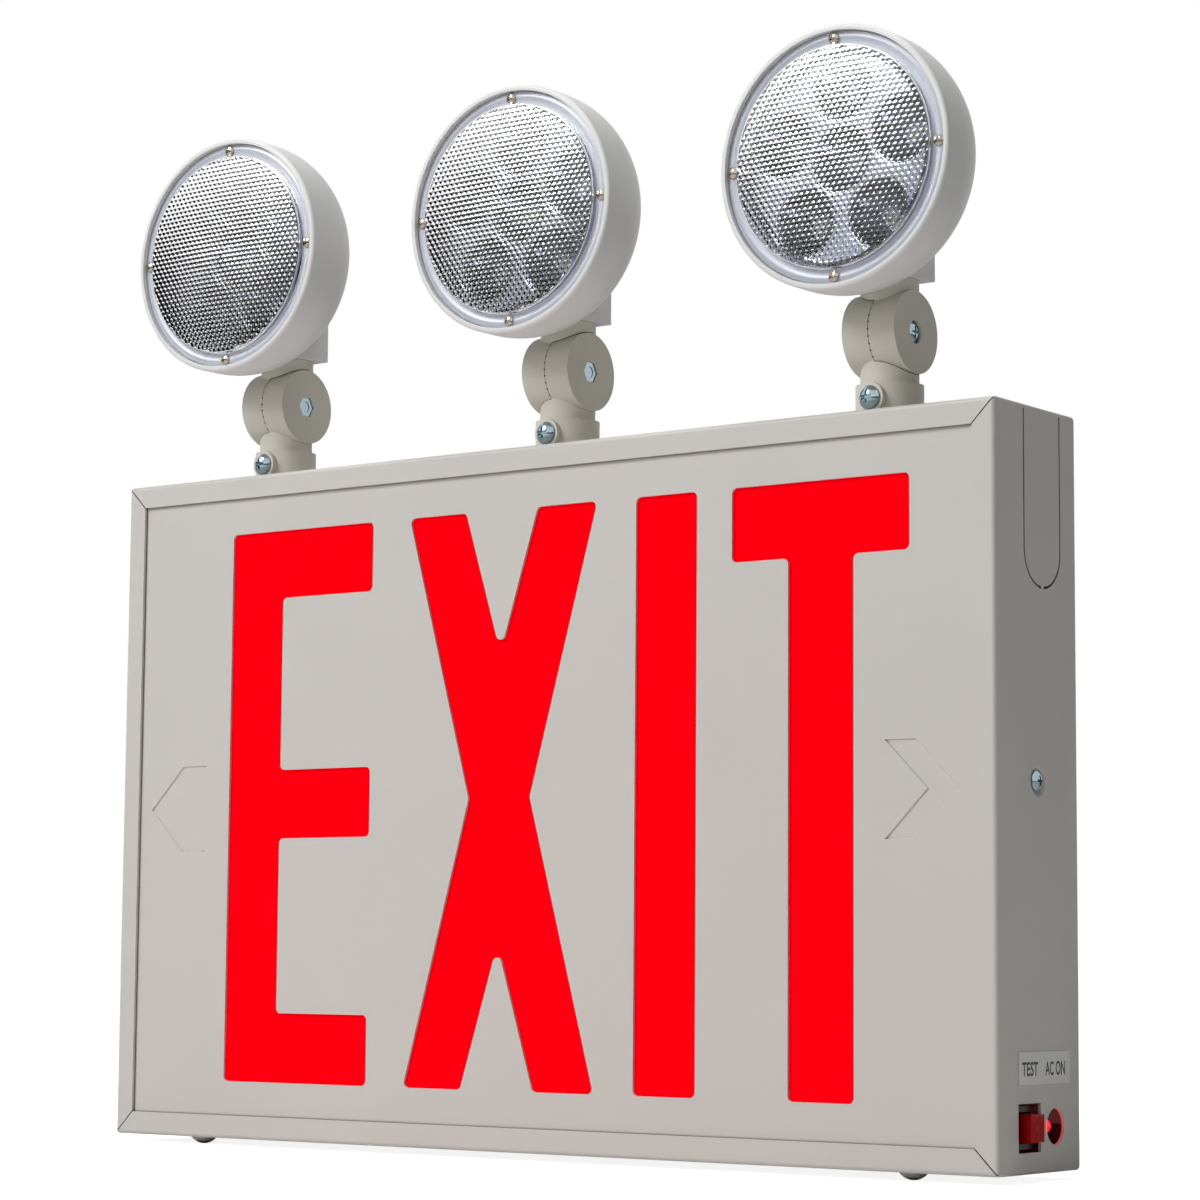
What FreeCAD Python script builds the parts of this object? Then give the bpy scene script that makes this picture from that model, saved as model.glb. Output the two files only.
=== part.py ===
import FreeCAD, Part
import os
import re
import Sketcher
from FreeCAD import Placement, Rotation, Vector

# Emergency exit light: a folded sheet-steel sign box with a stencil face, three lamp heads
# on swivel collars, and a test button with a pilot lamp on its right-hand end.
# Millimetres. X runs along the sign, -Y is the front, +Z is up. The origin is the middle of
# the wall fixing holes, on the plane of the wall.

doc = FreeCAD.newDocument("exit_light")
sheet = doc.addObject("Spreadsheet::Sheet", "Size")
sheet.Label = "Size"

SIZES = [
    # sheet-steel box
    ("boxWidth", 381.0, "overall width of the box"),
    ("boxHeight", 246.0, "overall height of the box"),
    ("boxDepth", 55.0, "wall to front face"),
    ("steel", 1.0, "sheet thickness of box, face and back pan"),
    ("lipWidth", 8.4, "front lip, seen from the front"),
    ("lipThick", 1.2, "thickness of the front lip"),
    ("frontBend", 1.6, "outer radius of the front bends"),
    ("cornerBend", 1.0, "outer radius where the walls meet"),
    ("rearBend", 3.0, "outer radius of the rear bends"),
    ("rearLip", 10.0, "rear return flange of the top and bottom walls"),
    ("sideReturn", 6.0, "rear return flange of the end walls"),
    ("mitreGap", 0.4, "open mitre between two front lips"),
    # face plate and its red panel
    ("faceClear", 0.5, "edge clearance of the face plate and red panel"),
    ("stackGap", 0.1, "gap between layers behind the front lip"),
    ("panelThick", 2.5, "red panel"),
    ("letterHeight", 203.2, "height of the stencil letters"),
    ("letterRise", -0.5, "middle of the letters above the middle of the box"),
    ("letterLeft", -136.9, "left edge of the first letter"),
    ("stroke", 25.4, "upright stroke of the letters"),
    ("barHeight", 25.2, "level stroke of the letters"),
    ("letterE", 68.6, "width of the first letter"),
    ("gapEX", 17.2, "space between first and second letters"),
    ("letterX", 84.0, "width of the second letter"),
    ("xArm", 26.0, "level width of a slanting arm"),
    ("xWaist", 27.2, "width where the arms cross"),
    ("xNotch", 50.6, "depth of the notch between two arms"),
    ("gapXI", 16.5, "space between second and third letters"),
    ("gapIT", 14.2, "space between third and fourth letters"),
    ("letterT", 69.2, "width of the fourth letter"),
    ("tStem", 22.5, "left edge of the last letter to its stem"),
    ("letterRound", 2.0, "corner radius of the stencil"),
    ("chevronInset", 14.1, "end of the box to the tip of a chevron"),
    ("chevronRise", -1.4, "middle of a chevron above the middle of the box"),
    ("chevronWidth", 27.9, "chevron, tip to tails"),
    ("chevronHeight", 32.2, "chevron, top to bottom"),
    ("chevronArm", 11.9, "level width of a chevron arm"),
    ("chevronDepth", 0.5, "depth pressed into the face"),
    ("chevronSlope", 35.0, "slope of the pressed edge, in degrees"),
    # end wall features
    ("knockoutLine", 24.3, "wall plane to the middle of the end knockout"),
    ("knockoutRadius", 11.9, "radius of the knockout's round end"),
    ("knockoutDrop", 47.0, "top of the box to the centre of the knockout's round end"),
    ("knockoutSlit", 0.8, "width of the cut round the knockout"),
    ("knockoutBridge", 1.6, "uncut bridge under the round end"),
    ("knockoutTop", 1.6, "uncut steel above the knockout"),
    ("endScrewLine", 28.0, "wall plane to the end screw"),
    ("endScrewRise", 1.4, "end screw above the middle of the box"),
    ("dimpleRadius", 5.0, "mouth of the pressed dimple"),
    ("dimpleDepth", 1.0, "depth of the dimple"),
    ("dimpleFloor", 3.9, "flat floor radius of the dimple"),
    ("windowSetback", 20.0, "front face to the middle of the switch window"),
    ("windowDepth", 14.4, "switch window, front to back"),
    ("windowHeight", 15.4, "switch window, top to bottom"),
    ("controlLift", 14.5, "bottom of the box to the middle of the switch window"),
    ("pilotSetback", 36.8, "front face to the pilot lamp"),
    ("pilotHole", 5.8, "radius of the pilot hole"),
    ("plugInset", 36.5, "end of the box to a hole plug"),
    ("plugSetback", 10.0, "front face to a hole plug"),
    ("plugHole", 3.0, "radius of a plugged hole"),
    ("plugRadius", 5.0, "radius of a plug's dome"),
    ("plugDome", 2.8, "height of a plug's dome"),
    ("plugCatch", 2.0, "stud of a plug inside the wall"),
    # back pan and what it carries
    ("panClear", 0.3, "clearance of the back pan in its opening"),
    ("earHeight", 30.0, "height of a pan ear"),
    ("earReach", 36.0, "wall plane to the front edge of an ear"),
    ("wallSpanX", 300.0, "wall holes, left to right"),
    ("wallSpanZ", 150.0, "wall holes, top to bottom"),
    ("wallHole", 2.6, "radius of a wall hole"),
    ("conduitHole", 11.1, "radius of the wire entry"),
    ("conduitRise", 0.0, "wire entry above the middle of the box"),
    # lighting rails
    ("railDepth", 7.0, "rail along the wall"),
    ("railDrop", 12.0, "rail leg behind the red panel"),
    ("railInset", 45.5, "end of the box to the end of a rail"),
    ("stripThick", 1.6, "circuit strip"),
    ("stripWidth", 5.0, "circuit strip"),
    ("signLedCount", 10.0, "light-emitting diodes on a strip"),
    ("signLedPitch", 28.0, "their spacing"),
    ("signLedSize", 3.5, "their length"),
    ("signLedHeight", 1.2, "their height"),
    # battery
    ("cellRadius", 16.5, "radius of a battery cell"),
    ("cellHeight", 60.0, "height of a battery cell"),
    ("cellCount", 5.0, "cells side by side"),
    ("packInset", 30.5, "end of the box to the battery pack"),
    ("packSeat", 0.3, "clearance under and behind the pack"),
    ("strapWidth", 20.0, "battery strap"),
    ("strapFoot", 12.0, "foot of the battery strap"),
    # charger
    ("boardInset", 36.5, "end of the box to the charger board"),
    ("boardWidth", 92.0, "charger board"),
    ("boardHeight", 78.0, "charger board"),
    ("boardLift", 18.0, "bottom of the box to the charger board"),
    ("boardThick", 1.6, "charger board"),
    ("standoff", 8.0, "length of a standoff"),
    ("standoffRadius", 2.6, "radius of a standoff"),
    ("standoffInset", 5.0, "standoff from the edges of the board"),
    ("relayTall", 15.0, "relay on the board"),
    ("sinkTall", 20.0, "heat sink on the board"),
    ("capTall", 18.0, "capacitors on the board"),
    ("terminalCount", 6.0, "terminals in the block"),
    ("terminalPitch", 5.0, "their spacing"),
    ("terminalTall", 10.0, "terminal block, top to bottom"),
    ("terminalDeep", 11.0, "terminal block off the board"),
    ("terminalInset", 4.0, "terminal block from the edges of the board"),
    ("terminalWell", 1.7, "radius of a terminal's well"),
    ("coreWidth", 48.0, "transformer"),
    ("coreHeight", 40.0, "transformer"),
    ("coreDepth", 26.0, "transformer"),
    ("coilDepth", 34.0, "transformer winding, front to back"),
    ("coreGap", 35.0, "charger board to the transformer above it"),
    # test switch and pilot lamp
    ("bracketGap", 12.5, "bracket leg behind the outer face of the end wall"),
    ("bracketSetback", 9.0, "front face to the front edge of the bracket"),
    ("bracketHeight", 22.0, "height of the bracket"),
    ("bracketFoot", 12.0, "foot of the bracket on the back pan"),
    ("switchSize", 13.6, "square switch body"),
    ("switchSetback", 2.6, "switch face behind the outer face of the end wall"),
    ("wellDepth", 6.0, "well in the switch for its button"),
    ("buttonSize", 9.6, "square test button"),
    ("buttonProud", 4.6, "test button out of the end wall"),
    ("buttonTravel", 2.0, "how far the test button goes in"),
    ("buttonClear", 0.2, "clearance round the test button"),
    ("buttonEdge", 0.4, "bevel on the test button"),
    ("ledRadius", 2.5, "radius of the pilot lamp"),
    ("ledFlange", 2.9, "radius of its flange"),
    ("ledSetback", 2.2, "its tip behind the outer face of the end wall"),
    ("ledLength", 8.6, "pilot lamp, foot to tip"),
    ("ledFoot", 1.0, "thickness of its flange"),
    ("holderRadius", 4.4, "radius of its holder"),
    ("holderLength", 5.0, "length of its holder"),
    ("legendWidth", 33.1, "legend plate"),
    ("legendHeight", 10.4, "legend plate"),
    ("legendSetback", 29.6, "front face to the middle of the legend plate"),
    ("legendLift", 18.7, "switch window to the middle of the legend plate"),
    ("legendThick", 0.25, "legend plate"),
    # lamp arms
    ("lampInset", 55.5, "end of the box to the axis of an outer lamp"),
    ("pivotRise", 29.5, "tilt pivot above the box"),
    ("collarRadius", 11.5, "radius of a swivel collar"),
    ("collarHeight", 12.0, "height of a swivel collar"),
    ("nippleRadius", 10.0, "radius of the collar's nipple"),
    ("nippleLength", 9.0, "nipple below the top of the box"),
    ("nippleClear", 0.2, "clearance of the nipple in the box"),
    ("nutFlats", 24.0, "lock nut across flats"),
    ("nutThick", 4.0, "lock nut"),
    ("spigotRadius", 7.9, "radius of the stem's spigot"),
    ("runClear", 0.06, "running clearance on a radius"),
    ("faceRun", 0.2, "running gap between flat faces"),
    ("clampRise", 6.6, "clamp screw above the box"),
    ("clampBoss", 5.0, "radius of the clamp screw boss"),
    ("clampReach", 12.8, "boss face from the swivel axis"),
    ("grooveDepth", 1.0, "groove in the spigot for the clamp screw"),
    ("stemRadius", 9.9, "radius of stem and neck"),
    ("wireBore", 3.5, "radius of the wire way"),
    ("knuckleRadius", 14.1, "radius of the knuckle"),
    ("knuckleWall", 10.2, "half width of the knuckle"),
    ("knuckleClear", 0.3, "gap round the turning half"),
    ("seamGap", 0.15, "gap between the serrated faces"),
    ("toothCount", 36.0, "serrations round the seam"),
    ("toothWidth", 0.8, "width of a serration"),
    ("toothDepth", 0.45, "depth of a serration"),
    ("toothInner", 9.0, "inner radius of the serrations"),
    ("neckRise", 18.2, "top of the neck above the pivot"),
    ("neckSpigot", 9.0, "spigot of the neck in the lamp head"),
    ("pivotShank", 2.0, "radius of the pivot screw"),
    ("pivotHead", 3.8, "head radius of the pivot screw"),
    ("pivotHeadHeight", 1.9, "head height of the pivot screw"),
    ("pivotNutFlats", 7.0, "pivot nut across flats"),
    ("pivotNutThick", 3.2, "pivot nut"),
    ("nutSink", 0.5, "pivot nut below the knuckle's face"),
    ("clampShank", 1.9, "radius of the clamp screw"),
    ("clampHead", 3.9, "head radius of the clamp screw"),
    ("clampHeadHeight", 2.7, "head height of the clamp screw"),
    ("endShank", 1.6, "radius of an end screw"),
    ("endHead", 3.3, "head radius of an end screw"),
    ("endHeadHeight", 1.9, "head height of an end screw"),
    ("endLength", 7.0, "length of an end screw"),
    # lamp heads
    ("headRadius", 44.4, "radius of a lamp head"),
    ("headRise", 54.0, "middle of the head above the pivot"),
    ("rimFront", 36.4, "front of the rim from the pivot"),
    ("barrelLength", 9.9, "straight part of the head"),
    ("domeDepth", 34.0, "domed part of the head"),
    ("domeShoulder", 28.0, "radius of the dome's shoulder"),
    ("rimWall", 2.0, "wall of the head at the rim"),
    ("rimProud", 1.9, "rim in front of the lens ring"),
    ("rimRound", 1.2, "rounding of the rim"),
    ("ledgeDepth", 15.0, "lens ring to the inner ledge"),
    ("ledgeWidth", 8.3, "width of the inner ledge"),
    ("domeWall", 2.6, "wall of the dome"),
    ("bossWidth", 24.4, "width of the neck boss"),
    ("bossRear", 11.0, "rear of the neck boss behind the pivot"),
    ("bossFront", 15.0, "flat under the head, in front of the pivot"),
    ("bossTop", 38.0, "top of the neck boss above the pivot"),
    ("bossSlope", 14.0, "height of the boss's sloping back"),
    ("bossLean", 8.0, "how far that back leans forward"),
    ("bossRound", 2.5, "rounding of the boss"),
    ("bossFloor", 2.6, "least wall over the flat and round the socket"),
    ("lensClear", 0.2, "clearance round the lens"),
    ("lensRing", 2.0, "thickness of the lens ring"),
    ("ringWidth", 4.9, "width of the lens ring"),
    ("lensStep", 2.3, "step from ring to lens"),
    ("lensCrown", 2.0, "crown of the lens"),
    ("lensThick", 1.8, "thickness of the lens"),
    ("screwInset", 2.4, "lens screws from the bore of the rim"),
    ("lensScrewHead", 1.9, "head radius of a lens screw"),
    ("lensScrewHeadHeight", 1.0, "head height of a lens screw"),
    ("lensScrewShank", 1.0, "radius of a lens screw"),
    ("lensScrewLength", 8.0, "length of a lens screw"),
    ("screwBoss", 2.5, "radius of a lens screw boss"),
    ("screwEar", 2.15, "radius of an ear of the lens ring"),
    ("earProud", 0.5, "ear in front of the lens ring"),
    ("reflectorInset", 5.5, "reflector inside the bore of the rim"),
    ("reflectorWall", 1.2, "wall of the reflector"),
    ("cupThroat", 3.6, "throat radius of a cup"),
    ("lampBoard", 1.6, "lamp circuit board"),
    ("chipRadius", 2.4, "radius of a lamp diode"),
    ("chipHeight", 1.6, "height of a lamp diode"),
]

for row, (alias, value, note) in enumerate(SIZES, start=1):
    sheet.set("A%d" % row, note)
    sheet.set("B%d" % row, str(value))
    sheet.setAlias("B%d" % row, alias)
doc.recompute()

# Lines and radii that several pieces share, worked out from the sizes above.
DERIVED = {
    "lipBack": "-boxDepth + lipThick",
    "plateFront": "lipBack + stackGap",
    "plateBack": "plateFront + steel",
    "panelFront": "plateBack + stackGap",
    "panelBack": "panelFront + panelThick",
    "railFront": "panelBack + stackGap",
    "inWallX": "boxWidth / 2 - steel",
    "inWallZ": "boxHeight / 2 - steel",
    "plateX": "inWallX - faceClear",
    "plateZ": "inWallZ - faceClear",
    "panInner": "-steel",
    "earOut": "inWallX - dimpleDepth - panClear",
    "chevronTip": "boxWidth / 2 - chevronInset",
    "knockoutRise": "boxHeight / 2 - knockoutDrop",
    "windowLine": "boxDepth - windowSetback",
    "pilotLine": "boxDepth - pilotSetback",
    "controlRise": "controlLift - boxHeight / 2",
    "legendLine": "boxDepth - legendSetback",
    "legendRise": "controlRise + legendLift",
    "plugSpan": "boxWidth / 2 - plugInset",
    "plugLine": "boxDepth - plugSetback",
    "railHalf": "boxWidth / 2 - railInset",
    "packLeft": "packInset - boxWidth / 2",
    "packRight": "packLeft + cellRadius * 2 * cellCount",
    "packFloor": "rearBend + packSeat - boxHeight / 2",
    "packBack": "panInner - packSeat",
    "boardRight": "boxWidth / 2 - boardInset",
    "boardLeft": "boardRight - boardWidth",
    "boardBottom": "boardLift - boxHeight / 2",
    "boardTop": "boardBottom + boardHeight",
    "boardBack": "panInner - standoff",
    "boardFront": "boardBack - boardThick",
    "coreRise": "boardTop + coreGap",
    "legOut": "boxWidth / 2 - bracketGap",
    "switchFace": "boxWidth / 2 - switchSetback",
    "ledTip": "boxWidth / 2 - ledSetback",
    "lampPitch": "boxWidth / 2 - lampInset",
    "lampLine": "boxDepth / 2",
    # from the tilt pivot
    "boxTop": "-pivotRise",
    "collarTop": "collarHeight - pivotRise",
    "clampZ": "clampRise - pivotRise",
    "domeStart": "barrelLength - rimFront",
    "domeFlank": "headRadius - domeShoulder",
    "domeCrown": "(domeDepth ^ 2 + domeFlank ^ 2 - domeShoulder ^ 2) / (2 * (domeDepth - domeShoulder))",
    "crownCentre": "domeStart + domeDepth - domeCrown",
    "joinR": "domeCrown * domeFlank / (domeCrown - domeShoulder)",
    "joinY": "crownCentre + domeCrown * (domeCrown - domeDepth) / (domeCrown - domeShoulder)",
    "ringFront": "rimProud - rimFront",
    "ringBack": "ringFront + lensRing",
    "ledge": "ringFront + ledgeDepth",
    "boreRadius": "headRadius - rimWall",
    "ledgeRadius": "boreRadius - ledgeWidth",
    "lensRadius": "boreRadius - ringWidth",
    "lensScrewCircle": "boreRadius - screwInset",
    "reflectorRadius": "boreRadius - reflectorInset",
    "cupCircle": "reflectorRadius * 0.652",
    "cupMouth": "reflectorRadius * 0.288",
}

ALIASES = {alias for alias, value, note in SIZES}
WORD = re.compile(r"[A-Za-z_]\w*")
nodes = []


def bound(text):
    """An expression with derived names spelt out and the sheet's name put before each alias."""
    def spell(match):
        word = match.group()
        if word in DERIVED:
            return "(" + bound(DERIVED[word]) + ")"
        return "Size." + word if word in ALIASES else word
    return WORD.sub(spell, str(text))


def value(text):
    """The number that an expression gives with the present sizes."""
    result = sheet.evalExpression(bound(text))
    return float(getattr(result, "Value", result))


def node(thing, label):
    """Marks a finished object as a sub-part of its own."""
    thing.Label = label
    nodes.append(thing)
    return thing


def seat(thing, x="0", y="0", z="0", turn=None):
    """Puts an object in its place, with its position bound to the sheet."""
    if turn is not None:
        thing.Placement = Placement(Vector(), turn)
    for axis, text in zip("xyz", (x, y, z)):
        thing.setExpression(".Placement.Base." + axis, bound(text))
    return thing


# ---- plain solids and booleans

def primitive(kind, name, at=("0", "0", "0"), turn=None, **sizes):
    thing = doc.addObject("Part::" + kind, name)
    for size, text in sizes.items():
        thing.setExpression(size, bound(text))
    return seat(thing, *at, turn=turn)


def block(name, x, y, z):
    """A box between two expressions on each axis."""
    return primitive("Box", name, at=(x[0], y[0], z[0]),
                     Length="(%s) - (%s)" % (x[1], x[0]),
                     Width="(%s) - (%s)" % (y[1], y[0]),
                     Height="(%s) - (%s)" % (z[1], z[0]))


def fused(name, things):
    fuse = doc.addObject("Part::MultiFuse", name)
    fuse.Shapes = things
    return fuse


def cut(name, base, tool):
    result = doc.addObject("Part::Cut", name)
    result.Base = base
    result.Tool = tool
    return result


def group(name, things):
    compound = doc.addObject("Part::Compound", name)
    compound.Links = things
    return compound


# ---- sketched features

def newBody(name):
    body = doc.addObject("PartDesign::Body", name)
    body.AllowCompound = True
    return body


def originItem(body, role):
    return next(item for item in body.Origin.OriginFeatures if item.Role == role)


def newSketch(body, plane, offset="0"):
    """A sketch on an origin plane, moved along its normal: XY up, XZ to the front, YZ to the right."""
    sketch = body.newObject("Sketcher::SketchObject", body.Name + "_sketch")
    sketch.AttachmentSupport = [(originItem(body, plane + "_Plane"), "")]
    sketch.MapMode = "FlatFace"
    sketch.setExpression(".AttachmentOffset.Base.z", bound(offset))
    return sketch


def tie(sketch, kind, *geometry, to):
    """A constraint bound to an expression."""
    index = sketch.addConstraint(Sketcher.Constraint(kind, *geometry, value(to)))
    sketch.setExpression("Constraints[%d]" % index, bound(to))


def outline(sketch, corners):
    """A closed outline. A corner is (x, y), or (x, y, radius, side) where an arc runs to the next
    corner, bulging to its left (side 1) or right (side -1)."""
    points = [Vector(value(c[0]), value(c[1]), 0) for c in corners]
    edges = []
    flipped = []
    for i, corner in enumerate(corners):
        a = points[i]
        b = points[(i + 1) % len(points)]
        if len(corner) == 2:
            edges.append(sketch.addGeometry(Part.LineSegment(a, b), False))
            flipped.append(False)
            continue
        radius = value(corner[2])
        along = b - a
        across = Vector(-along.y, along.x, 0).normalize() * corner[3]
        sag = radius - (radius * radius - (along.Length / 2) ** 2) ** 0.5
        arc = Part.Arc(a, (a + b) * 0.5 + across * sag, b)
        edges.append(sketch.addGeometry(arc, False))
        flipped.append(corner[3] == 1)
        tie(sketch, "Radius", edges[-1], to=corner[2])
    for i, corner in enumerate(corners):
        start = 2 if flipped[i] else 1
        last = 1 if flipped[i - 1] else 2
        sketch.addConstraint(Sketcher.Constraint("Coincident", edges[i - 1], last, edges[i], start))
        tie(sketch, "DistanceX", -1, 1, edges[i], start, to=corner[0])
        tie(sketch, "DistanceY", -1, 1, edges[i], start, to=corner[1])


def oblong(sketch, x, y):
    """A rectangle between two expressions on each axis."""
    outline(sketch, [(x[0], y[0]), (x[1], y[0]), (x[1], y[1]), (x[0], y[1])])


def circle(sketch, x, y, radius):
    ring = Part.Circle(Vector(value(x), value(y), 0), Vector(0, 0, 1), value(radius))
    edge = sketch.addGeometry(ring, False)
    tie(sketch, "DistanceX", -1, 1, edge, 3, to=x)
    tie(sketch, "DistanceY", -1, 1, edge, 3, to=y)
    tie(sketch, "Radius", edge, to=radius)


def hexagon(sketch, flats):
    """A hexagon about the origin, with two flats across the sketch's y."""
    half = "(%s) / 2" % flats
    point = "(%s) / sqrt(3)" % flats
    side = "(%s) / sqrt(12)" % flats
    outline(sketch, [(side, half), ("-(%s)" % side, half), ("-(%s)" % point, "0"),
                     ("-(%s)" % side, "-(%s)" % half), (side, "-(%s)" % half), (point, "0")])


def feature(body, kind, sketch, reverse=False, **sizes):
    thing = body.newObject("PartDesign::" + kind, body.Name + "_" + kind.lower())
    thing.Profile = sketch
    thing.Reversed = reverse
    for size, text in sizes.items():
        thing.setExpression(size, bound(text))
    sketch.Visibility = False
    return thing


def pad(body, sketch, length, reverse=False):
    """Adds along the sketch's normal, or against it."""
    return feature(body, "Pad", sketch, reverse, Length=length)


def pocket(body, sketch, length, reverse=False):
    """Cuts against the sketch's normal, or along it."""
    return feature(body, "Pocket", sketch, reverse, Length=length)


def revolve(body, sketch, axis, kind="Revolution"):
    turned = body.newObject("PartDesign::" + kind, body.Name + "_" + kind.lower())
    turned.Profile = sketch
    turned.ReferenceAxis = (originItem(body, axis + "_Axis"), [""])
    turned.Angle = 360.0
    return turned


def polar(body, originals, axis, count):
    pattern = body.newObject("PartDesign::PolarPattern", body.Name + "_polar")
    pattern.Originals = originals
    pattern.Axis = (originItem(body, axis + "_Axis"), [""])
    pattern.Angle = 360.0
    pattern.setExpression("Occurrences", bound(count))
    body.Tip = pattern
    return pattern


def rounded(body, base, test, radius, kind="Fillet"):
    """Rounds or bevels the edges of a feature that pass a test."""
    doc.recompute()
    names = []
    for i, edge in enumerate(base.Shape.Edges, start=1):
        if not edge.Degenerated and test(edge):
            names.append("Edge%d" % i)
    dressed = body.newObject("PartDesign::" + kind, body.Name + "_" + kind.lower())
    dressed.Base = (base, names)
    dressed.setExpression("Radius" if kind == "Fillet" else "Size", bound(radius))
    return dressed


def runsAlong(edge, axis):
    """True for a straight edge along "x", "y" or "z"."""
    if edge.Curve.TypeId != "Part::GeomLine":
        return False
    return abs(getattr(edge.Curve.Direction, axis)) > 0.999


def middle(edge):
    return edge.BoundBox.Center


def screw(name, head, headHeight, shank, length):
    """A cross-head screw on the Y axis: its seat at the origin, its head to the front."""
    body = newBody(name)
    profile = newSketch(body, "XY")
    crown = "((%s) ^ 2 + (0.7 * (%s)) ^ 2) / (2 * 0.7 * (%s))" % (head, headHeight, headHeight)
    outline(profile, [("0", "-(%s)" % headHeight, crown, -1), (head, "-0.3 * (%s)" % headHeight),
                      (head, "0"), (shank, "0"), (shank, length), ("0", length)])
    revolve(body, profile, "Y")
    cross = newSketch(body, "XZ", "(%s) + 0.1" % headHeight)
    arm = "0.52 * (%s)" % head
    web = "0.13 * (%s)" % head
    signs = [(1, 1), (-1, 1), (-1, -1), (1, -1)]
    corners = []
    for sx, sy in signs:
        far = ("%d * %s" % (sx, arm), "%d * %s" % (sy, web))
        near = ("%d * %s" % (sx, web), "%d * %s" % (sy, web))
        tall = ("%d * %s" % (sx, web), "%d * %s" % (sy, arm))
        corners += [far, near, tall] if sx * sy > 0 else [tall, near, far]
    outline(cross, corners)
    pocket(body, cross, "0.1 + 0.62 * (%s)" % headHeight)
    return body


# ---- sheet-steel box

def housing():
    """One folded wrap: four walls, mitred front lips, and narrow rear returns all round."""
    body = newBody("housing")
    shell = newSketch(body, "XZ")
    oblong(shell, ("-boxWidth / 2", "boxWidth / 2"), ("-boxHeight / 2", "boxHeight / 2"))
    slab = pad(body, shell, "boxDepth")
    corners = rounded(body, slab, lambda e: runsAlong(e, "y"), "cornerBend")
    front = value("-boxDepth")
    fronts = rounded(body, corners, lambda e: abs(middle(e).y - front) < 0.01, "frontBend")
    rounded(body, fronts, lambda e: abs(middle(e).y) < 0.01, "rearBend")

    for reach, backward in (("boxDepth - lipThick - rearBend", False), ("rearBend - steel", True)):
        hollow = newSketch(body, "XZ", "rearBend")
        oblong(hollow, ("-inWallX", "inWallX"), ("-inWallZ", "inWallZ"))
        space = pocket(body, hollow, reach, reverse=not backward)
        space.TaperAngle = -45 if backward else 0
    back = newSketch(body, "XZ", "-0.1")
    outline(back, panOutline("boxWidth / 2 - sideReturn", "boxHeight / 2 - rearLip", "earOut + panClear",
                             "earHeight / 2 + panClear"))
    pocket(body, back, "rearBend + 0.2", reverse=True)
    face = newSketch(body, "XZ", "boxDepth - lipThick - 0.1")
    oblong(face, ("-(boxWidth / 2 - lipWidth)", "boxWidth / 2 - lipWidth"),
           ("-(boxHeight / 2 - lipWidth)", "boxHeight / 2 - lipWidth"))
    pocket(body, face, "lipThick + 0.2", reverse=True)
    cutMitres(body)

    lampHoles = newSketch(body, "XY", "boxHeight / 2 + steel")
    for place in (-1, 0, 1):
        circle(lampHoles, "%d * lampPitch" % place, "-lampLine", "nippleRadius + nippleClear")
    pocket(body, lampHoles, "steel * 3")
    plugHoles = newSketch(body, "XY", "-boxHeight / 2 - steel")
    for side in (-1, 1):
        circle(plugHoles, "%d * plugSpan" % side, "-plugLine", "plugHole")
    pocket(body, plugHoles, "steel * 3", reverse=True)

    for side in (-1, 1):
        endWall(body, side)
    return node(body, "housing")


def panOutline(halfX, halfZ, tabX, tabHalf):
    """A rectangle with a tab at each end, level with the end screws."""
    up = "endScrewRise + " + tabHalf
    down = "endScrewRise - (%s)" % tabHalf
    right = [(halfX, "-(%s)" % halfZ), (halfX, down), (tabX, down), (tabX, up), (halfX, up), (halfX, halfZ)]
    left = [("-(%s)" % x, z) for x, z in reversed(right)]
    return right + left


def cutMitres(body):
    """The open mitre between two lips at each front corner."""
    mitres = newSketch(body, "XZ", "boxDepth - lipThick")
    half = "mitreGap / sqrt(8)"
    for sx, sz in ((1, 1), (-1, 1), (-1, -1), (1, -1)):
        def corner(inset, shift):
            x = "%d * (boxWidth / 2 - (%s) + %s)" % (sx, inset, shift)
            z = "%d * (boxHeight / 2 - (%s) - (%s))" % (sz, inset, shift)
            return x, z
        outline(mitres, [corner("lipWidth + 0.1", "-" + half), corner("lipWidth + 0.1", half),
                         corner("steel / 2", half), corner("steel / 2", "-" + half)])
    pocket(body, mitres, "lipThick + 0.1", reverse=True)


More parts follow.
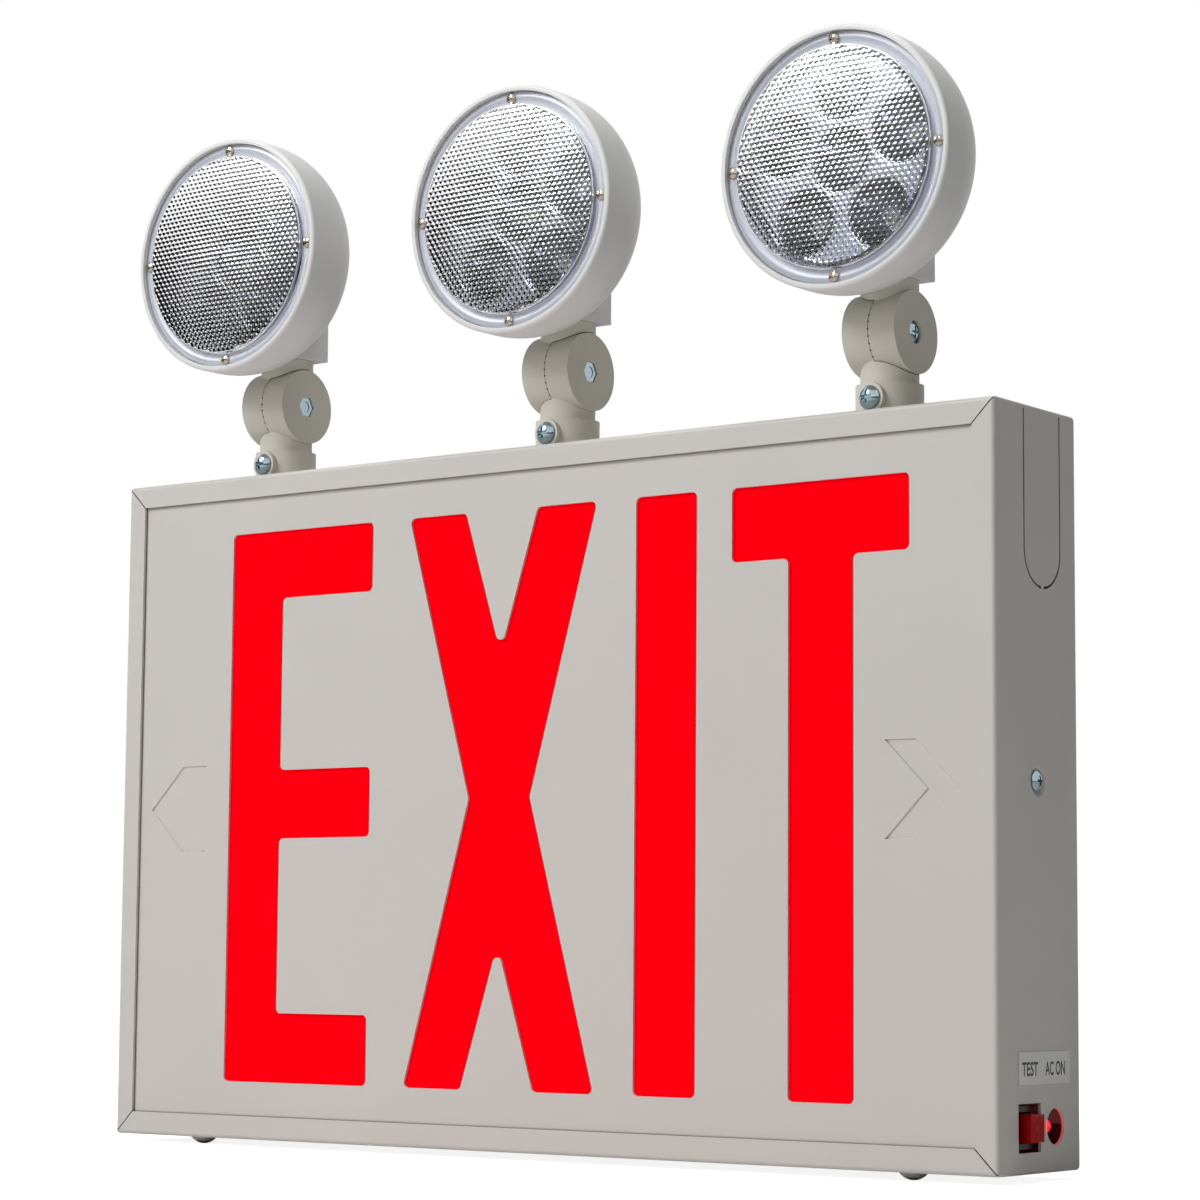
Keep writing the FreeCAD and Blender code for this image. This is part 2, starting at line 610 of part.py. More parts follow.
def endWall(body, side):
    """A knockout and a dimple in one end wall, and on the right the switch window and pilot hole."""
    outerFace = "%d * boxWidth / 2" % side
    dish = newSketch(body, "YZ", "%d * (boxWidth / 2 - steel)" % side)
    circle(dish, "-endScrewLine", "endScrewRise", "dimpleRadius + steel / 2")
    pad(body, dish, "dimpleDepth", reverse=side > 0)
    cone = newSketch(body, "XZ", "endScrewLine")
    rim = "%d * (boxWidth / 2 + 0.1)" % side
    floor = "%d * (boxWidth / 2 - dimpleDepth)" % side
    outline(cone, [(rim, "endScrewRise"), (rim, "endScrewRise + dimpleRadius + 0.1"),
                   (floor, "endScrewRise + dimpleFloor"), (floor, "endScrewRise")])
    groove = body.newObject("PartDesign::Groove", body.Name + "_dimple")
    groove.Profile = cone
    line = cone.addGeometry(Part.LineSegment(Vector(0, value("endScrewRise"), 0),
                                             Vector(value("boxWidth / 2"), value("endScrewRise"), 0)), True)
    tie(cone, "DistanceX", -1, 1, line, 1, to="0")
    tie(cone, "DistanceY", -1, 1, line, 1, to="endScrewRise")
    tie(cone, "DistanceX", -1, 1, line, 2, to="boxWidth / 2")
    tie(cone, "DistanceY", -1, 1, line, 2, to="endScrewRise")
    groove.ReferenceAxis = (cone, ["Axis0"])
    groove.Angle = 360.0

    openings = newSketch(body, "YZ", outerFace)
    circle(openings, "-endScrewLine", "endScrewRise", "endShank * 1.3")
    knockout(openings)
    if side > 0:
        oblong(openings, ("-windowLine - windowDepth / 2", "-windowLine + windowDepth / 2"),
               ("controlRise - windowHeight / 2", "controlRise + windowHeight / 2"))
        circle(openings, "-pilotLine", "controlRise", "pilotHole")
    pocket(body, openings, "steel + dimpleDepth + 0.5", reverse=side < 0)


def knockout(sketch):
    """The cut round the knockout: two slits that meet a bridge under a round end."""
    top = "boxHeight / 2 - knockoutTop"
    outer = "(knockoutRadius + knockoutSlit / 2)"
    inner = "(knockoutRadius - knockoutSlit / 2)"
    half = "(knockoutBridge / 2)"
    for side in (-1, 1):
        def at(radius):
            return "-knockoutLine + %d * %s" % (side, radius)
        outerEnd = (at(half), "knockoutRise - sqrt(%s ^ 2 - %s ^ 2)" % (outer, half))
        innerEnd = (at(half), "knockoutRise - sqrt(%s ^ 2 - %s ^ 2)" % (inner, half))
        outline(sketch, [(at(outer), top), (at(outer), "knockoutRise", outer, side), outerEnd,
                         innerEnd + (inner, -side), (at(inner), "knockoutRise"), (at(inner), top)])


# ---- stencil face and red panel

def letterOutlines():
    """The four stencil letters, as outlines on the face."""
    top = "(letterRise + letterHeight / 2)"
    low = "(letterRise - letterHeight / 2)"
    e0 = "letterLeft"
    e1 = "(letterLeft + letterE)"
    x0 = "(%s + gapEX)" % e1
    x1 = "(%s + letterX)" % x0
    xMid = "(%s + letterX / 2)" % x0
    i0 = "(%s + gapXI)" % x1
    i1 = "(%s + stroke)" % i0
    t0 = "(%s + gapIT)" % i1
    t1 = "(%s + letterT)" % t0
    stem0 = "(%s + tStem)" % t0
    stem1 = "(%s + stroke)" % stem0
    inner = "(letterLeft + stroke)"
    midTop = "(letterRise + barHeight / 2)"
    midLow = "(letterRise - barHeight / 2)"
    letterOne = [(e0, top), (e1, top), (e1, top + " - barHeight"), (inner, top + " - barHeight"),
                 (inner, midTop), (e1, midTop), (e1, midLow), (inner, midLow),
                 (inner, low + " + barHeight"), (e1, low + " + barHeight"), (e1, low), (e0, low)]
    letterTwo = [(x0, top), (x0 + " + xArm", top), (xMid, top + " - xNotch"), (x1 + " - xArm", top),
                 (x1, top), (xMid + " + xWaist / 2", "letterRise"), (x1, low), (x1 + " - xArm", low),
                 (xMid, low + " + xNotch"), (x0 + " + xArm", low), (x0, low),
                 (xMid + " - xWaist / 2", "letterRise")]
    letterThree = [(i0, top), (i1, top), (i1, low), (i0, low)]
    letterFour = [(t0, top), (t1, top), (t1, top + " - barHeight"), (stem1, top + " - barHeight"),
                  (stem1, low), (stem0, low), (stem0, top + " - barHeight"), (t0, top + " - barHeight")]
    return [letterOne, letterTwo, letterThree, letterFour]


def facePlate():
    """The stencil face: letters cut through, a chevron pressed in at each side."""
    body = newBody("face_plate")
    front = "-plateFront"
    blank = newSketch(body, "XZ", front)
    oblong(blank, ("-plateX", "plateX"), ("-plateZ", "plateZ"))
    pad(body, blank, "steel", reverse=True)
    letters = newSketch(body, "XZ", front + " + 0.1")
    for corners in letterOutlines():
        outline(letters, corners)
    stencil = pocket(body, letters, "steel + 0.2")
    edge = value("plateX") - 1
    rounded(body, stencil, lambda e: runsAlong(e, "y") and abs(middle(e).x) < edge, "letterRound")
    presses = newSketch(body, "XZ", front)
    for side in (-1, 1):
        def at(inset):
            return "%d * (chevronTip - %s)" % (side, inset)
        up = "chevronRise + chevronHeight / 2"
        down = "chevronRise - chevronHeight / 2"
        shoulder = "(chevronWidth - chevronArm)"
        outline(presses, [(at("0"), "chevronRise"), (at(shoulder), up), (at("chevronWidth"), up),
                          (at("chevronArm"), "chevronRise"), (at("chevronWidth"), down),
                          (at(shoulder), down)])
    pressed = pocket(body, presses, "chevronDepth")
    pressed.setExpression("TaperAngle", bound("-chevronSlope"))
    return node(body, "face_plate")


def redPanel():
    panel = block("red_panel", ("-plateX", "plateX"), ("panelFront", "panelBack"), ("-plateZ", "plateZ"))
    return node(panel, "red_diffuser")


# ---- back pan, end screws, hole plugs

def backPan():
    """The plate against the wall, with an ear folded forward at each end for the end screws."""
    body = newBody("back_pan")
    plate = newSketch(body, "XZ")
    outline(plate, panOutline("boxWidth / 2 - sideReturn - panClear", "boxHeight / 2 - rearLip - panClear",
                              "earOut", "earHeight / 2"))
    pad(body, plate, "steel")
    for side in (-1, 1):
        ear = newSketch(body, "YZ", "%d * (earOut - steel)" % side)
        oblong(ear, ("-earReach", "-steel / 2"),
               ("endScrewRise - earHeight / 2", "endScrewRise + earHeight / 2"))
        pad(body, ear, "steel", reverse=side < 0)
        bore = newSketch(body, "YZ", "%d * (earOut + 0.5)" % side)
        circle(bore, "-endScrewLine", "endScrewRise", "endShank + runClear")
        pocket(body, bore, "steel + 1", reverse=side < 0)
    holes = newSketch(body, "XZ", "-0.5")
    for sx in (-1, 1):
        for sz in (-1, 1):
            circle(holes, "%d * wallSpanX / 2" % sx, "%d * wallSpanZ / 2" % sz, "wallHole")
    circle(holes, "0", "conduitRise", "conduitHole")
    pocket(body, holes, "steel + 1", reverse=True)
    return node(body, "back_pan")


def endScrews():
    pair = []
    for side, name in ((1, "end_screw_right"), (-1, "end_screw_left")):
        one = screw(name, "endHead", "endHeadHeight", "endShank", "endLength")
        seat(one, "%d * (boxWidth / 2 - dimpleDepth)" % side, "-endScrewLine", "endScrewRise",
             Rotation(Vector(0, 0, 1), 90 * side))
        pair.append(one)
    return node(group("end_screws", pair), "end_screws")


def holePlugs():
    """Two domed plugs in the bottom wall."""
    plugs = []
    for side in (-1, 1):
        body = newBody("plug")
        profile = newSketch(body, "XZ")
        crown = "(plugRadius ^ 2 + plugDome ^ 2) / (2 * plugDome)"
        stud = "plugHole - runClear"
        outline(profile, [("0", "steel + plugCatch"), (stud, "steel + plugCatch"), (stud, "0"),
                          ("plugRadius", "0", crown, 1), ("0", "-plugDome")])
        revolve(body, profile, "Z")
        plugs.append(seat(body, "%d * plugSpan" % side, "-plugLine", "-boxHeight / 2"))
    return node(group("hole_plugs", plugs), "hole_plugs")


# ---- lighting behind the red panel

def lightRails():
    """An angle along the top and bottom walls, each with its circuit strip of diodes."""
    along = ("-railHalf", "railHalf")
    stripFront = "railFront + steel + stackGap"
    diodeFront = stripFront + " + (stripWidth - signLedSize) / 2"
    diodes = []
    for side, word in ((1, "top"), (-1, "bottom")):
        def span(near, far):
            """From one distance off the wall to another, lowest first."""
            ends = ["%d * (inWallZ - (%s))" % (side, reach) for reach in (near, far)]
            return ends if side < 0 else ends[::-1]
        shelf = block(word + "_shelf", along, ("railFront", "railFront + railDepth"), span("0", "steel"))
        leg = block(word + "_leg", along, ("railFront", "railFront + steel"), span("0", "railDrop"))
        node(fused(word + "_rail", [shelf, leg]), word + "_light_rail")
        strip = block(word + "_strip", along, (stripFront, stripFront + " + stripWidth"),
                      span("steel", "steel + stripThick"))
        node(strip, word + "_led_strip")
        for i in range(int(value("signLedCount"))):
            x = "(%d - (signLedCount - 1) / 2) * signLedPitch" % i
            diodes.append(block("%s_diode" % word, (x + " - signLedSize / 2", x + " + signLedSize / 2"),
                                (diodeFront, diodeFront + " + signLedSize"),
                                span("steel + stripThick", "steel + stripThick + signLedHeight")))
    return node(group("sign_leds", diodes), "sign_leds")


# ---- battery and charger

def battery():
    """A row of round cells in shrink wrap, under a folded strap."""
    cells = []
    for i in range(int(value("cellCount"))):
        x = "packLeft + cellRadius * %d" % (2 * i + 1)
        cells.append(primitive("Cylinder", "cell", at=(x, "packBack - cellRadius", "packFloor"),
                               Radius="cellRadius", Height="cellHeight"))
    web = block("wrap_web", ("packLeft + cellRadius", "packRight - cellRadius"),
                ("packBack - cellRadius * 1.8", "packBack - cellRadius * 0.2"),
                ("packFloor", "packFloor + cellHeight"))
    node(fused("cell_row", cells + [web]), "battery_pack")

    body = newBody("battery_strap")
    strap = newSketch(body, "XY", "packFloor + cellHeight / 2 - strapWidth / 2")
    left = "packLeft - packSeat"
    right = "packRight + packSeat"
    over = "packBack - 2 * cellRadius - packSeat"
    raised = "panInner - steel"
    outline(strap, [(left + " - steel - strapFoot", "panInner"), (left, "panInner"), (left, over),
                    (right, over), (right, "panInner"), (right + " + steel + strapFoot", "panInner"),
                    (right + " + steel + strapFoot", raised), (right + " + steel", raised),
                    (right + " + steel", over + " - steel"), (left + " - steel", over + " - steel"),
                    (left + " - steel", raised), (left + " - steel - strapFoot", raised)])
    pad(body, strap, "strapWidth")
    return node(body, "battery_strap")


def charger():
    """The charger board on four standoffs, its terminal block, and the transformer above it."""
    def across(share):
        return "boardLeft + %g * boardWidth" % share

    def up(share):
        return "boardBottom + %g * boardHeight" % share

    board = block("board", ("boardLeft", "boardRight"), ("boardFront", "boardBack"),
                  ("boardBottom", "boardTop"))
    parts = [board,
             block("relay", (across(0.09), across(0.29)), ("boardFront - relayTall", "boardFront"),
                   (up(0.10), up(0.29))),
             block("heat_sink", (across(0.39), across(0.42)), ("boardFront - sinkTall", "boardFront"),
                   (up(0.38), up(0.77)))]
    for x, z, radius in ((0.54, 0.19, 0.054), (0.70, 0.19, 0.054), (0.15, 0.58, 0.068), (0.65, 0.58, 0.043)):
        parts.append(primitive("Cylinder", "capacitor", at=(across(x), "boardFront", up(z)),
                               Radius="%g * boardWidth" % radius, Height="capTall",
                               turn=Rotation(Vector(1, 0, 0), 90)))
    node(fused("charger", parts), "charger_board")

    posts = []
    for x in ("boardLeft + standoffInset", "boardRight - standoffInset"):
        for z in ("boardBottom + standoffInset", "boardTop - standoffInset"):
            posts.append(primitive("Cylinder", "post", at=(x, "panInner", z), Radius="standoffRadius",
                                   Height="standoff", turn=Rotation(Vector(1, 0, 0), 90)))
    node(group("standoffs", posts), "board_standoffs")

    body = newBody("terminal_block")
    base = newSketch(body, "XZ", "-boardFront")
    right = "boardRight - 2 * standoffInset"
    oblong(base, (right + " - terminalPitch * terminalCount", right),
           ("boardTop - terminalInset - terminalTall", "boardTop - terminalInset"))
    pad(body, base, "terminalDeep")
    wells = newSketch(body, "XZ", "terminalDeep - boardFront")
    for i in range(int(value("terminalCount"))):
        circle(wells, right + " - terminalPitch * (%d + 0.5)" % i,
               "boardTop - terminalInset - terminalTall / 2", "terminalWell")
    pocket(body, wells, "terminalDeep * 0.55")
    node(body, "terminal_block")

    core = block("core", ("boardLeft", "boardLeft + coreWidth"), ("panInner - coreDepth", "panInner"),
                 ("coreRise", "coreRise + coreHeight"))
    coil = block("coil", ("boardLeft + coreWidth * 0.2", "boardLeft + coreWidth * 0.8"),
                 ("panInner - coilDepth", "panInner"),
                 ("coreRise + coreHeight * 0.15", "coreRise + coreHeight * 0.85"))
    return node(fused("transformer_block", [core, coil]), "transformer")


# ---- test switch, pilot lamp, legend

def controls():
    """An angle on the back pan holds the switch and pilot lamp behind their openings."""
    levels = ("controlRise - bracketHeight / 2", "controlRise + bracketHeight / 2")
    leg = block("bracket_leg", ("legOut - steel", "legOut"), ("bracketSetback - boxDepth", "panInner"),
                levels)
    foot = block("bracket_foot", ("legOut - bracketFoot", "legOut"), ("panInner - steel", "panInner"), levels)
    node(fused("bracket", [leg, foot]), "indicator_bracket")

    def square(sketch, half):
        oblong(sketch, ("-windowLine - (%s)" % half, "-windowLine + (%s)" % half),
               ("controlRise - (%s)" % half, "controlRise + (%s)" % half))

    body = newBody("test_switch")
    case = newSketch(body, "YZ", "legOut")
    square(case, "switchSize / 2")
    pad(body, case, "switchFace - legOut")
    well = newSketch(body, "YZ", "switchFace")
    square(well, "buttonSize / 2 + buttonClear")
    pocket(body, well, "wellDepth")
    node(body, "test_switch")

    button = newBody("test_button")
    foot = newSketch(button, "YZ", "switchFace - wellDepth + buttonTravel + faceRun")
    square(foot, "buttonSize / 2")
    key = pad(button, foot, "buttonProud + switchSetback + wellDepth - buttonTravel - faceRun")
    outer = value("boxWidth / 2 + buttonProud")
    rounded(button, key, lambda e: abs(middle(e).x - outer) < 0.01, "buttonEdge", "Chamfer")
    node(button, "test_button")

    lamp = newBody("pilot_led")
    profile = newSketch(lamp, "XZ")
    outline(profile, [("0", "0"), ("0", "ledFlange"), ("ledFoot", "ledFlange"), ("ledFoot", "ledRadius"),
                      ("ledLength - ledRadius", "ledRadius", "ledRadius", 1), ("ledLength", "0")])
    revolve(lamp, profile, "X")
    seat(lamp, "ledTip - ledLength", "-pilotLine", "controlRise")
    node(lamp, "pilot_led")

    holder = newBody("pilot_led_holder")
    ring = newSketch(holder, "XZ")
    step = "ledTip - ledLength - legOut"
    flangeEnd = step + " + ledFoot + runClear"
    outline(ring, [("0", "0"), ("0", "holderRadius"), ("holderLength", "holderRadius"),
                   ("holderLength", "ledRadius + runClear"), (flangeEnd, "ledRadius + runClear"),
                   (flangeEnd, "ledFlange + runClear"), (step, "ledFlange + runClear"), (step, "0")])
    revolve(holder, ring, "X")
    seat(holder, "legOut", "-pilotLine", "controlRise")
    node(holder, "pilot_led_holder")

    legend = block("legend", ("boxWidth / 2", "boxWidth / 2 + legendThick"),
                   ("-legendLine - legendWidth / 2", "-legendLine + legendWidth / 2"),
                   ("legendRise - legendHeight / 2", "legendRise + legendHeight / 2"))
    return node(legend, "legend_plate")


# ---- lamp arm: collar, stem, neck and their screws, about the tilt pivot

def collar(name):
    """A socket through the top of the box, with a boss for the clamp screw in front."""
    body = newBody(name)
    bore = "spigotRadius + runClear"
    profile = newSketch(body, "XZ")
    outline(profile, [(bore, "collarTop"), ("collarRadius", "collarTop"), ("collarRadius", "boxTop"),
                      ("nippleRadius", "boxTop"), ("nippleRadius", "boxTop - nippleLength"),
                      (bore, "boxTop - nippleLength")])
    revolve(body, profile, "Z")
    boss = newSketch(body, "XZ", "collarRadius - 2")
    circle(boss, "0", "clampZ", "clampBoss")
    pad(body, boss, "clampReach - collarRadius + 2")
    hole = newSketch(body, "XZ", "clampReach + 0.5")
    circle(hole, "0", "clampZ", "clampShank + runClear")
    pocket(body, hole, "clampReach + 0.5 - spigotRadius / 2")
    return body


def lockNut(name):
    body = newBody(name)
    flats = newSketch(body, "XY", "boxTop - steel")
    hexagon(flats, "nutFlats")
    circle(flats, "0", "0", "nippleRadius + runClear")
    pad(body, flats, "nutThick", reverse=True)
    return body


def serrations(body, side):
    """V notches round the seam of a knuckle half, cut into its flat face."""
    cutter = newSketch(body, "XY", "toothInner")
    outline(cutter, [("0", "-toothWidth / 2"), ("0", "toothWidth / 2"),
                     ("%d * (seamGap / 2 + toothDepth)" % side, "0")])
    notch = pocket(body, cutter, "knuckleRadius + knuckleClear / 2 - toothInner", reverse=True)
    return polar(body, [notch], "X", "toothCount")


def knuckle(body, side):
    """Half a knuckle: a disc beyond the seam, and room for the other half's disc."""
    disc = newSketch(body, "YZ", "%d * seamGap / 2" % side)
    circle(disc, "0", "0", "knuckleRadius")
    pad(body, disc, "knuckleWall - seamGap / 2", reverse=side < 0)
    room = newSketch(body, "YZ", "%d * seamGap / 2" % side)
    circle(room, "0", "0", "knuckleRadius + knuckleClear")
    pocket(body, room, "knuckleWall * 2", reverse=side < 0)
    pivot = newSketch(body, "YZ", "%d * (knuckleWall + 1)" % side)
    circle(pivot, "0", "0", "pivotShank + runClear")
    pocket(body, pivot, "knuckleWall + 2", reverse=side < 0)
    serrations(body, side)


def stem(name):
    """The fixed half: a grooved spigot in the collar, a shoulder, and the right-hand disc."""
    body = newBody(name)
    shoulder = "collarTop + faceRun"
    profile = newSketch(body, "XZ")
    outline(profile, [("wireBore", "boxTop + faceRun"), ("spigotRadius", "boxTop + faceRun"),
                      ("spigotRadius", "clampZ - clampShank - 0.4"),
                      ("spigotRadius - grooveDepth", "clampZ - clampShank - 0.4"),
                      ("spigotRadius - grooveDepth", "clampZ + clampShank + 0.4"),
                      ("spigotRadius", "clampZ + clampShank + 0.4"),
                      ("spigotRadius", shoulder), ("stemRadius", shoulder),
                      ("stemRadius", "0"), ("wireBore", "0")])
    revolve(body, profile, "Z")
    knuckle(body, 1)
    recess = newSketch(body, "YZ", "knuckleWall + 0.5")
    hexagon(recess, "pivotNutFlats + 2 * runClear")
    pocket(body, recess, "0.5 + nutSink + pivotNutThick + runClear")
    return body


def neck(name):
    """The turning half: the left-hand disc and a neck with a spigot up into the lamp head."""
    body = newBody(name)
    profile = newSketch(body, "XZ")
    outline(profile, [("wireBore", "0"), ("stemRadius", "0"), ("stemRadius", "neckRise"),
                      ("spigotRadius", "neckRise"), ("spigotRadius", "neckRise + neckSpigot"),
                      ("wireBore", "neckRise + neckSpigot")])
    revolve(body, profile, "Z")
    knuckle(body, -1)
    recess = newSketch(body, "YZ", "-knuckleWall - 0.5")
    circle(recess, "0", "0", "pivotHead + 0.2")
    pocket(body, recess, "0.5 + pivotHeadHeight + runClear", reverse=True)
    return body


def pivotNut(name):
    body = newBody(name)
    flats = newSketch(body, "YZ", "knuckleWall - nutSink")
    hexagon(flats, "pivotNutFlats")
    circle(flats, "0", "0", "pivotShank + runClear")
    pad(body, flats, "pivotNutThick", reverse=True)
    return body


# ---- lamp head, about the tilt pivot

def headShell(name):
    """A domed bowl with a rolled rim, a neck boss under its back and four lens screw bosses."""
    bowl = newBody(name + "_bowl")
    profile = newSketch(bowl, "XY")
    outline(profile, [("0", "-rimFront"), ("headRadius", "-rimFront"),
                      ("headRadius", "domeStart", "domeShoulder", -1), ("joinR", "joinY", "domeCrown", -1),
                      ("0", "domeStart + domeDepth")])
    turned = revolve(bowl, profile, "Y")
    front = -value("rimFront")
    rounded(bowl, turned, lambda e: abs(middle(e).y - front) < 0.01, "rimRound")
    seat(bowl, "0", "0", "headRise")

    boss = newBody(name + "_boss")
    side = newSketch(boss, "YZ", "-bossWidth / 2")
    outline(side, [("-bossFront", "neckRise"), ("bossRear", "neckRise"), ("bossRear", "bossTop"),
                   ("bossRear - bossLean", "bossTop + bossSlope"), ("-bossFront", "bossTop + bossSlope")])
    lump = pad(boss, side, "bossWidth")
    rear = value("bossRear")
    high = value("bossTop") + 1
    rounded(boss, lump, lambda e: middle(e).y > rear - 0.1 and middle(e).z < high, "bossRound")

    cavity = newBody(name + "_cavity")
    inside = newSketch(cavity, "XY")
    innerCrown = "domeCrown - domeWall"
    atLedge = "crownCentre + sqrt((%s) ^ 2 - ledgeRadius ^ 2)" % innerCrown
    outline(inside, [("0", "-rimFront - 1"), ("boreRadius", "-rimFront - 1"), ("boreRadius", "ledge"),
                     ("ledgeRadius", "ledge"),
                     ("ledgeRadius", atLedge, innerCrown, -1), ("0", "crownCentre + " + innerCrown)])
    revolve(cavity, inside, "Y")
    seat(cavity, "0", "0", "headRise")
    floor = block(name + "_floor", ("-headRadius", "headRadius"),
                  ("-bossFront - bossFloor", "headRadius"), ("0", "neckRise + bossFloor"))
    tower = primitive("Cylinder", name + "_tower", at=("0", "0", "0"), Radius="spigotRadius + bossFloor",
                      Height="neckRise + neckSpigot + bossFloor")
    flat = block(name + "_flat", ("-headRadius", "headRadius"), ("-bossFront", "headRadius"),
                 ("0", "neckRise"))
    socket = primitive("Cylinder", name + "_socket", at=("0", "0", "neckRise - 1"),
                       Radius="spigotRadius + runClear", Height="neckSpigot + bossFloor + 2")
    hollow = cut(name + "_hollow", cavity, fused(name + "_kept", [floor, tower]))
    shell = cut(name + "_shell", fused(name + "_lump", [bowl, boss]),
                fused(name + "_void", [hollow, flat, socket]))

    posts = []
    pilots = []
    for sx, sz in ((0, 1), (1, 0), (0, -1), (-1, 0)):
        at = ("%d * lensScrewCircle" % sx, "ledge", "headRise + %d * lensScrewCircle" % sz)
        posts.append(primitive("Cylinder", name + "_post", at=at, Radius="screwBoss",
                               Height="ledgeDepth - lensRing - stackGap",
                               turn=Rotation(Vector(1, 0, 0), 90)))
        pilots.append(primitive("Cylinder", name + "_pilot", at=at, Radius="lensScrewShank + runClear",
                                Height="ledgeDepth", turn=Rotation(Vector(1, 0, 0), 90)))
    return cut(name, fused(name + "_posted", [shell] + posts), fused(name + "_pilots", pilots))


def lens(name):
    """A clear ring with a raised, crowned lens inside it and an ear round each screw."""
    body = newBody(name)
    lensEdge = "ringFront - lensStep"
    crown = "(lensRadius ^ 2 + lensCrown ^ 2) / (2 * lensCrown)"
    inner = "(lensRadius - lensThick)"
    innerCrown = "(%s ^ 2 + lensCrown ^ 2) / (2 * lensCrown)" % inner
    profile = newSketch(body, "XY")
    outline(profile, [("0", lensEdge + " - lensCrown", crown, -1), ("lensRadius", lensEdge),
                      ("lensRadius", "ringFront"), ("boreRadius - lensClear", "ringFront"),
                      ("boreRadius - lensClear", "ringBack"), (inner, "ringBack"),
                      (inner, lensEdge + " + lensThick", innerCrown, 1),
                      ("0", lensEdge + " + lensThick - lensCrown")])
    revolve(body, profile, "Y")
    ear = newSketch(body, "XZ", "-ringFront")
    circle(ear, "0", "lensScrewCircle", "screwEar")
    raised = pad(body, ear, "earProud")
    hole = newSketch(body, "XZ", "1 - ringFront")
    circle(hole, "0", "lensScrewCircle", "lensScrewShank + lensClear")
    through = pocket(body, hole, "lensRing + 2")
    polar(body, [raised, through], "Y", "4")
    return body


def reflector(name):
    """A thin bright moulding: a front plate and rim, with a cup for each diode."""
    depth = "(ledgeDepth - lensRing - lampBoard - stackGap)"
    back = "ledge - lampBoard"
    forward = Rotation(Vector(1, 0, 0), 90)
    inner = back + " - %s + reflectorWall" % depth
    plate = primitive("Cylinder", name + "_plate", at=("0", inner, "headRise"), Radius="reflectorRadius",
                      Height="reflectorWall", turn=forward)
    drum = primitive("Cylinder", name + "_drum", at=("0", back, "headRise"), Radius="reflectorRadius",
                     Height=depth, turn=forward)
    bore = primitive("Cylinder", name + "_bore", at=("0", back, "headRise"),
                     Radius="reflectorRadius - reflectorWall", Height=depth, turn=forward)
    walls = []
    cups = []
    for x, z in cupCentres():
        at = (x, back, "headRise + " + z)
        walls.append(primitive("Cone", name + "_wall", at=at, Radius1="cupThroat + reflectorWall",
                               Radius2="cupMouth + reflectorWall", Height=depth, turn=forward))
        cups.append(primitive("Cone", name + "_cup", at=at, Radius1="cupThroat", Radius2="cupMouth",
                              Height=depth, turn=forward))
    rim = cut(name + "_rim", drum, bore)
    return cut(name, fused(name + "_solid", [plate, rim] + walls), fused(name + "_cups", cups))


def cupCentres():
    """The middle of each cup, as expressions across and up from the middle of the head."""
    spots = [("0", "0")]
    for i in range(5):
        spots.append(("cupCircle * sin(%d deg)" % (72 * i), "cupCircle * cos(%d deg)" % (72 * i)))
    return spots


def lampBoard(name):
    """The round circuit board on the ledge, its diodes in the throats of the cups."""
    disc = primitive("Cylinder", name + "_disc", at=("0", "ledge", "headRise"), Radius="reflectorRadius",
                     Height="lampBoard", turn=Rotation(Vector(1, 0, 0), 90))
    parts = [disc]
    for x, z in cupCentres():
        parts.append(primitive("Cylinder", name + "_chip", at=(x, "ledge", "headRise + " + z),
                               Radius="chipRadius", Height="lampBoard + chipHeight",
                               turn=Rotation(Vector(1, 0, 0), 90)))
    return fused(name, parts)


def lensScrews(name):
    four = []
    for sx, sz in ((0, 1), (1, 0), (0, -1), (-1, 0)):
        one = screw(name + "_one", "lensScrewHead", "lensScrewHeadHeight", "lensScrewShank",
                    "lensScrewLength")
        four.append(seat(one, "%d * lensScrewCircle" % sx, "ringFront - earProud",
                         "headRise + %d * lensScrewCircle" % sz))
    return group(name, four)


def lamp(number, place, turned):
    """One lamp. On a turned arm, stem, neck and pivot face the other way round."""
    word = "lamp%d_" % number
    x = "%d * lampPitch" % place
    z = "boxHeight / 2 + pivotRise"
    round_ = Rotation(Vector(0, 0, 1), 180 if turned else 0)

    def put(thing, label, turn=None, rise="0"):
        seat(thing, x, "-lampLine", "%s + %s" % (z, rise), turn)
        node(thing, word + label)

    put(collar(word + "collar"), "collar")
    put(lockNut(word + "lock_nut"), "lock_nut")
    clamp = screw(word + "clamp_screw", "clampHead", "clampHeadHeight", "clampShank",
                  "clampReach - spigotRadius + grooveDepth / 2")
    seat(clamp, x, "-lampLine - clampReach", "%s + %s" % (z, "clampZ"))
    node(clamp, word + "clamp_screw")
    put(stem(word + "stem"), "stem", round_)
    put(pivotNut(word + "pivot_nut"), "pivot_nut", round_)
    pivotLength = "2 * knuckleWall - pivotHeadHeight - nutSink - 0.3"
    pivot = screw(word + "pivot_screw", "pivotHead", "pivotHeadHeight", "pivotShank", pivotLength)
    side = 1 if turned else -1
    seat(pivot, "%s + %d * (knuckleWall - pivotHeadHeight)" % (x, side), "-lampLine", z,
         Rotation(Vector(0, 0, 1), 90 * side))
    node(pivot, word + "pivot_screw")
    put(neck(word + "neck"), "neck", round_)
    put(headShell(word + "head"), "head")
    put(lens(word + "lens"), "lens", rise="headRise")
    put(reflector(word + "reflector"), "reflector")
    put(lampBoard(word + "led_board"), "led_board")
    put(lensScrews(word + "lens_screws"), "lens_screws")


housing()
facePlate()
redPanel()
backPan()
endScrews()
holePlugs()
lightRails()
battery()
charger()
controls()
for number, place, turned in ((1, -1, False), (2, 0, False), (3, 1, True)):
    lamp(number, place, turned)

doc.recompute()

faults = [thing.Name for thing in doc.Objects if "Invalid" in thing.State or "Error" in thing.State]
for thing in nodes:
    if thing.Shape.isNull() or not thing.Shape.isValid() or not thing.Shape.Solids:
        faults.append(thing.Label)
if faults:
    raise RuntimeError("failed: , ".join(sorted(set(faults))))

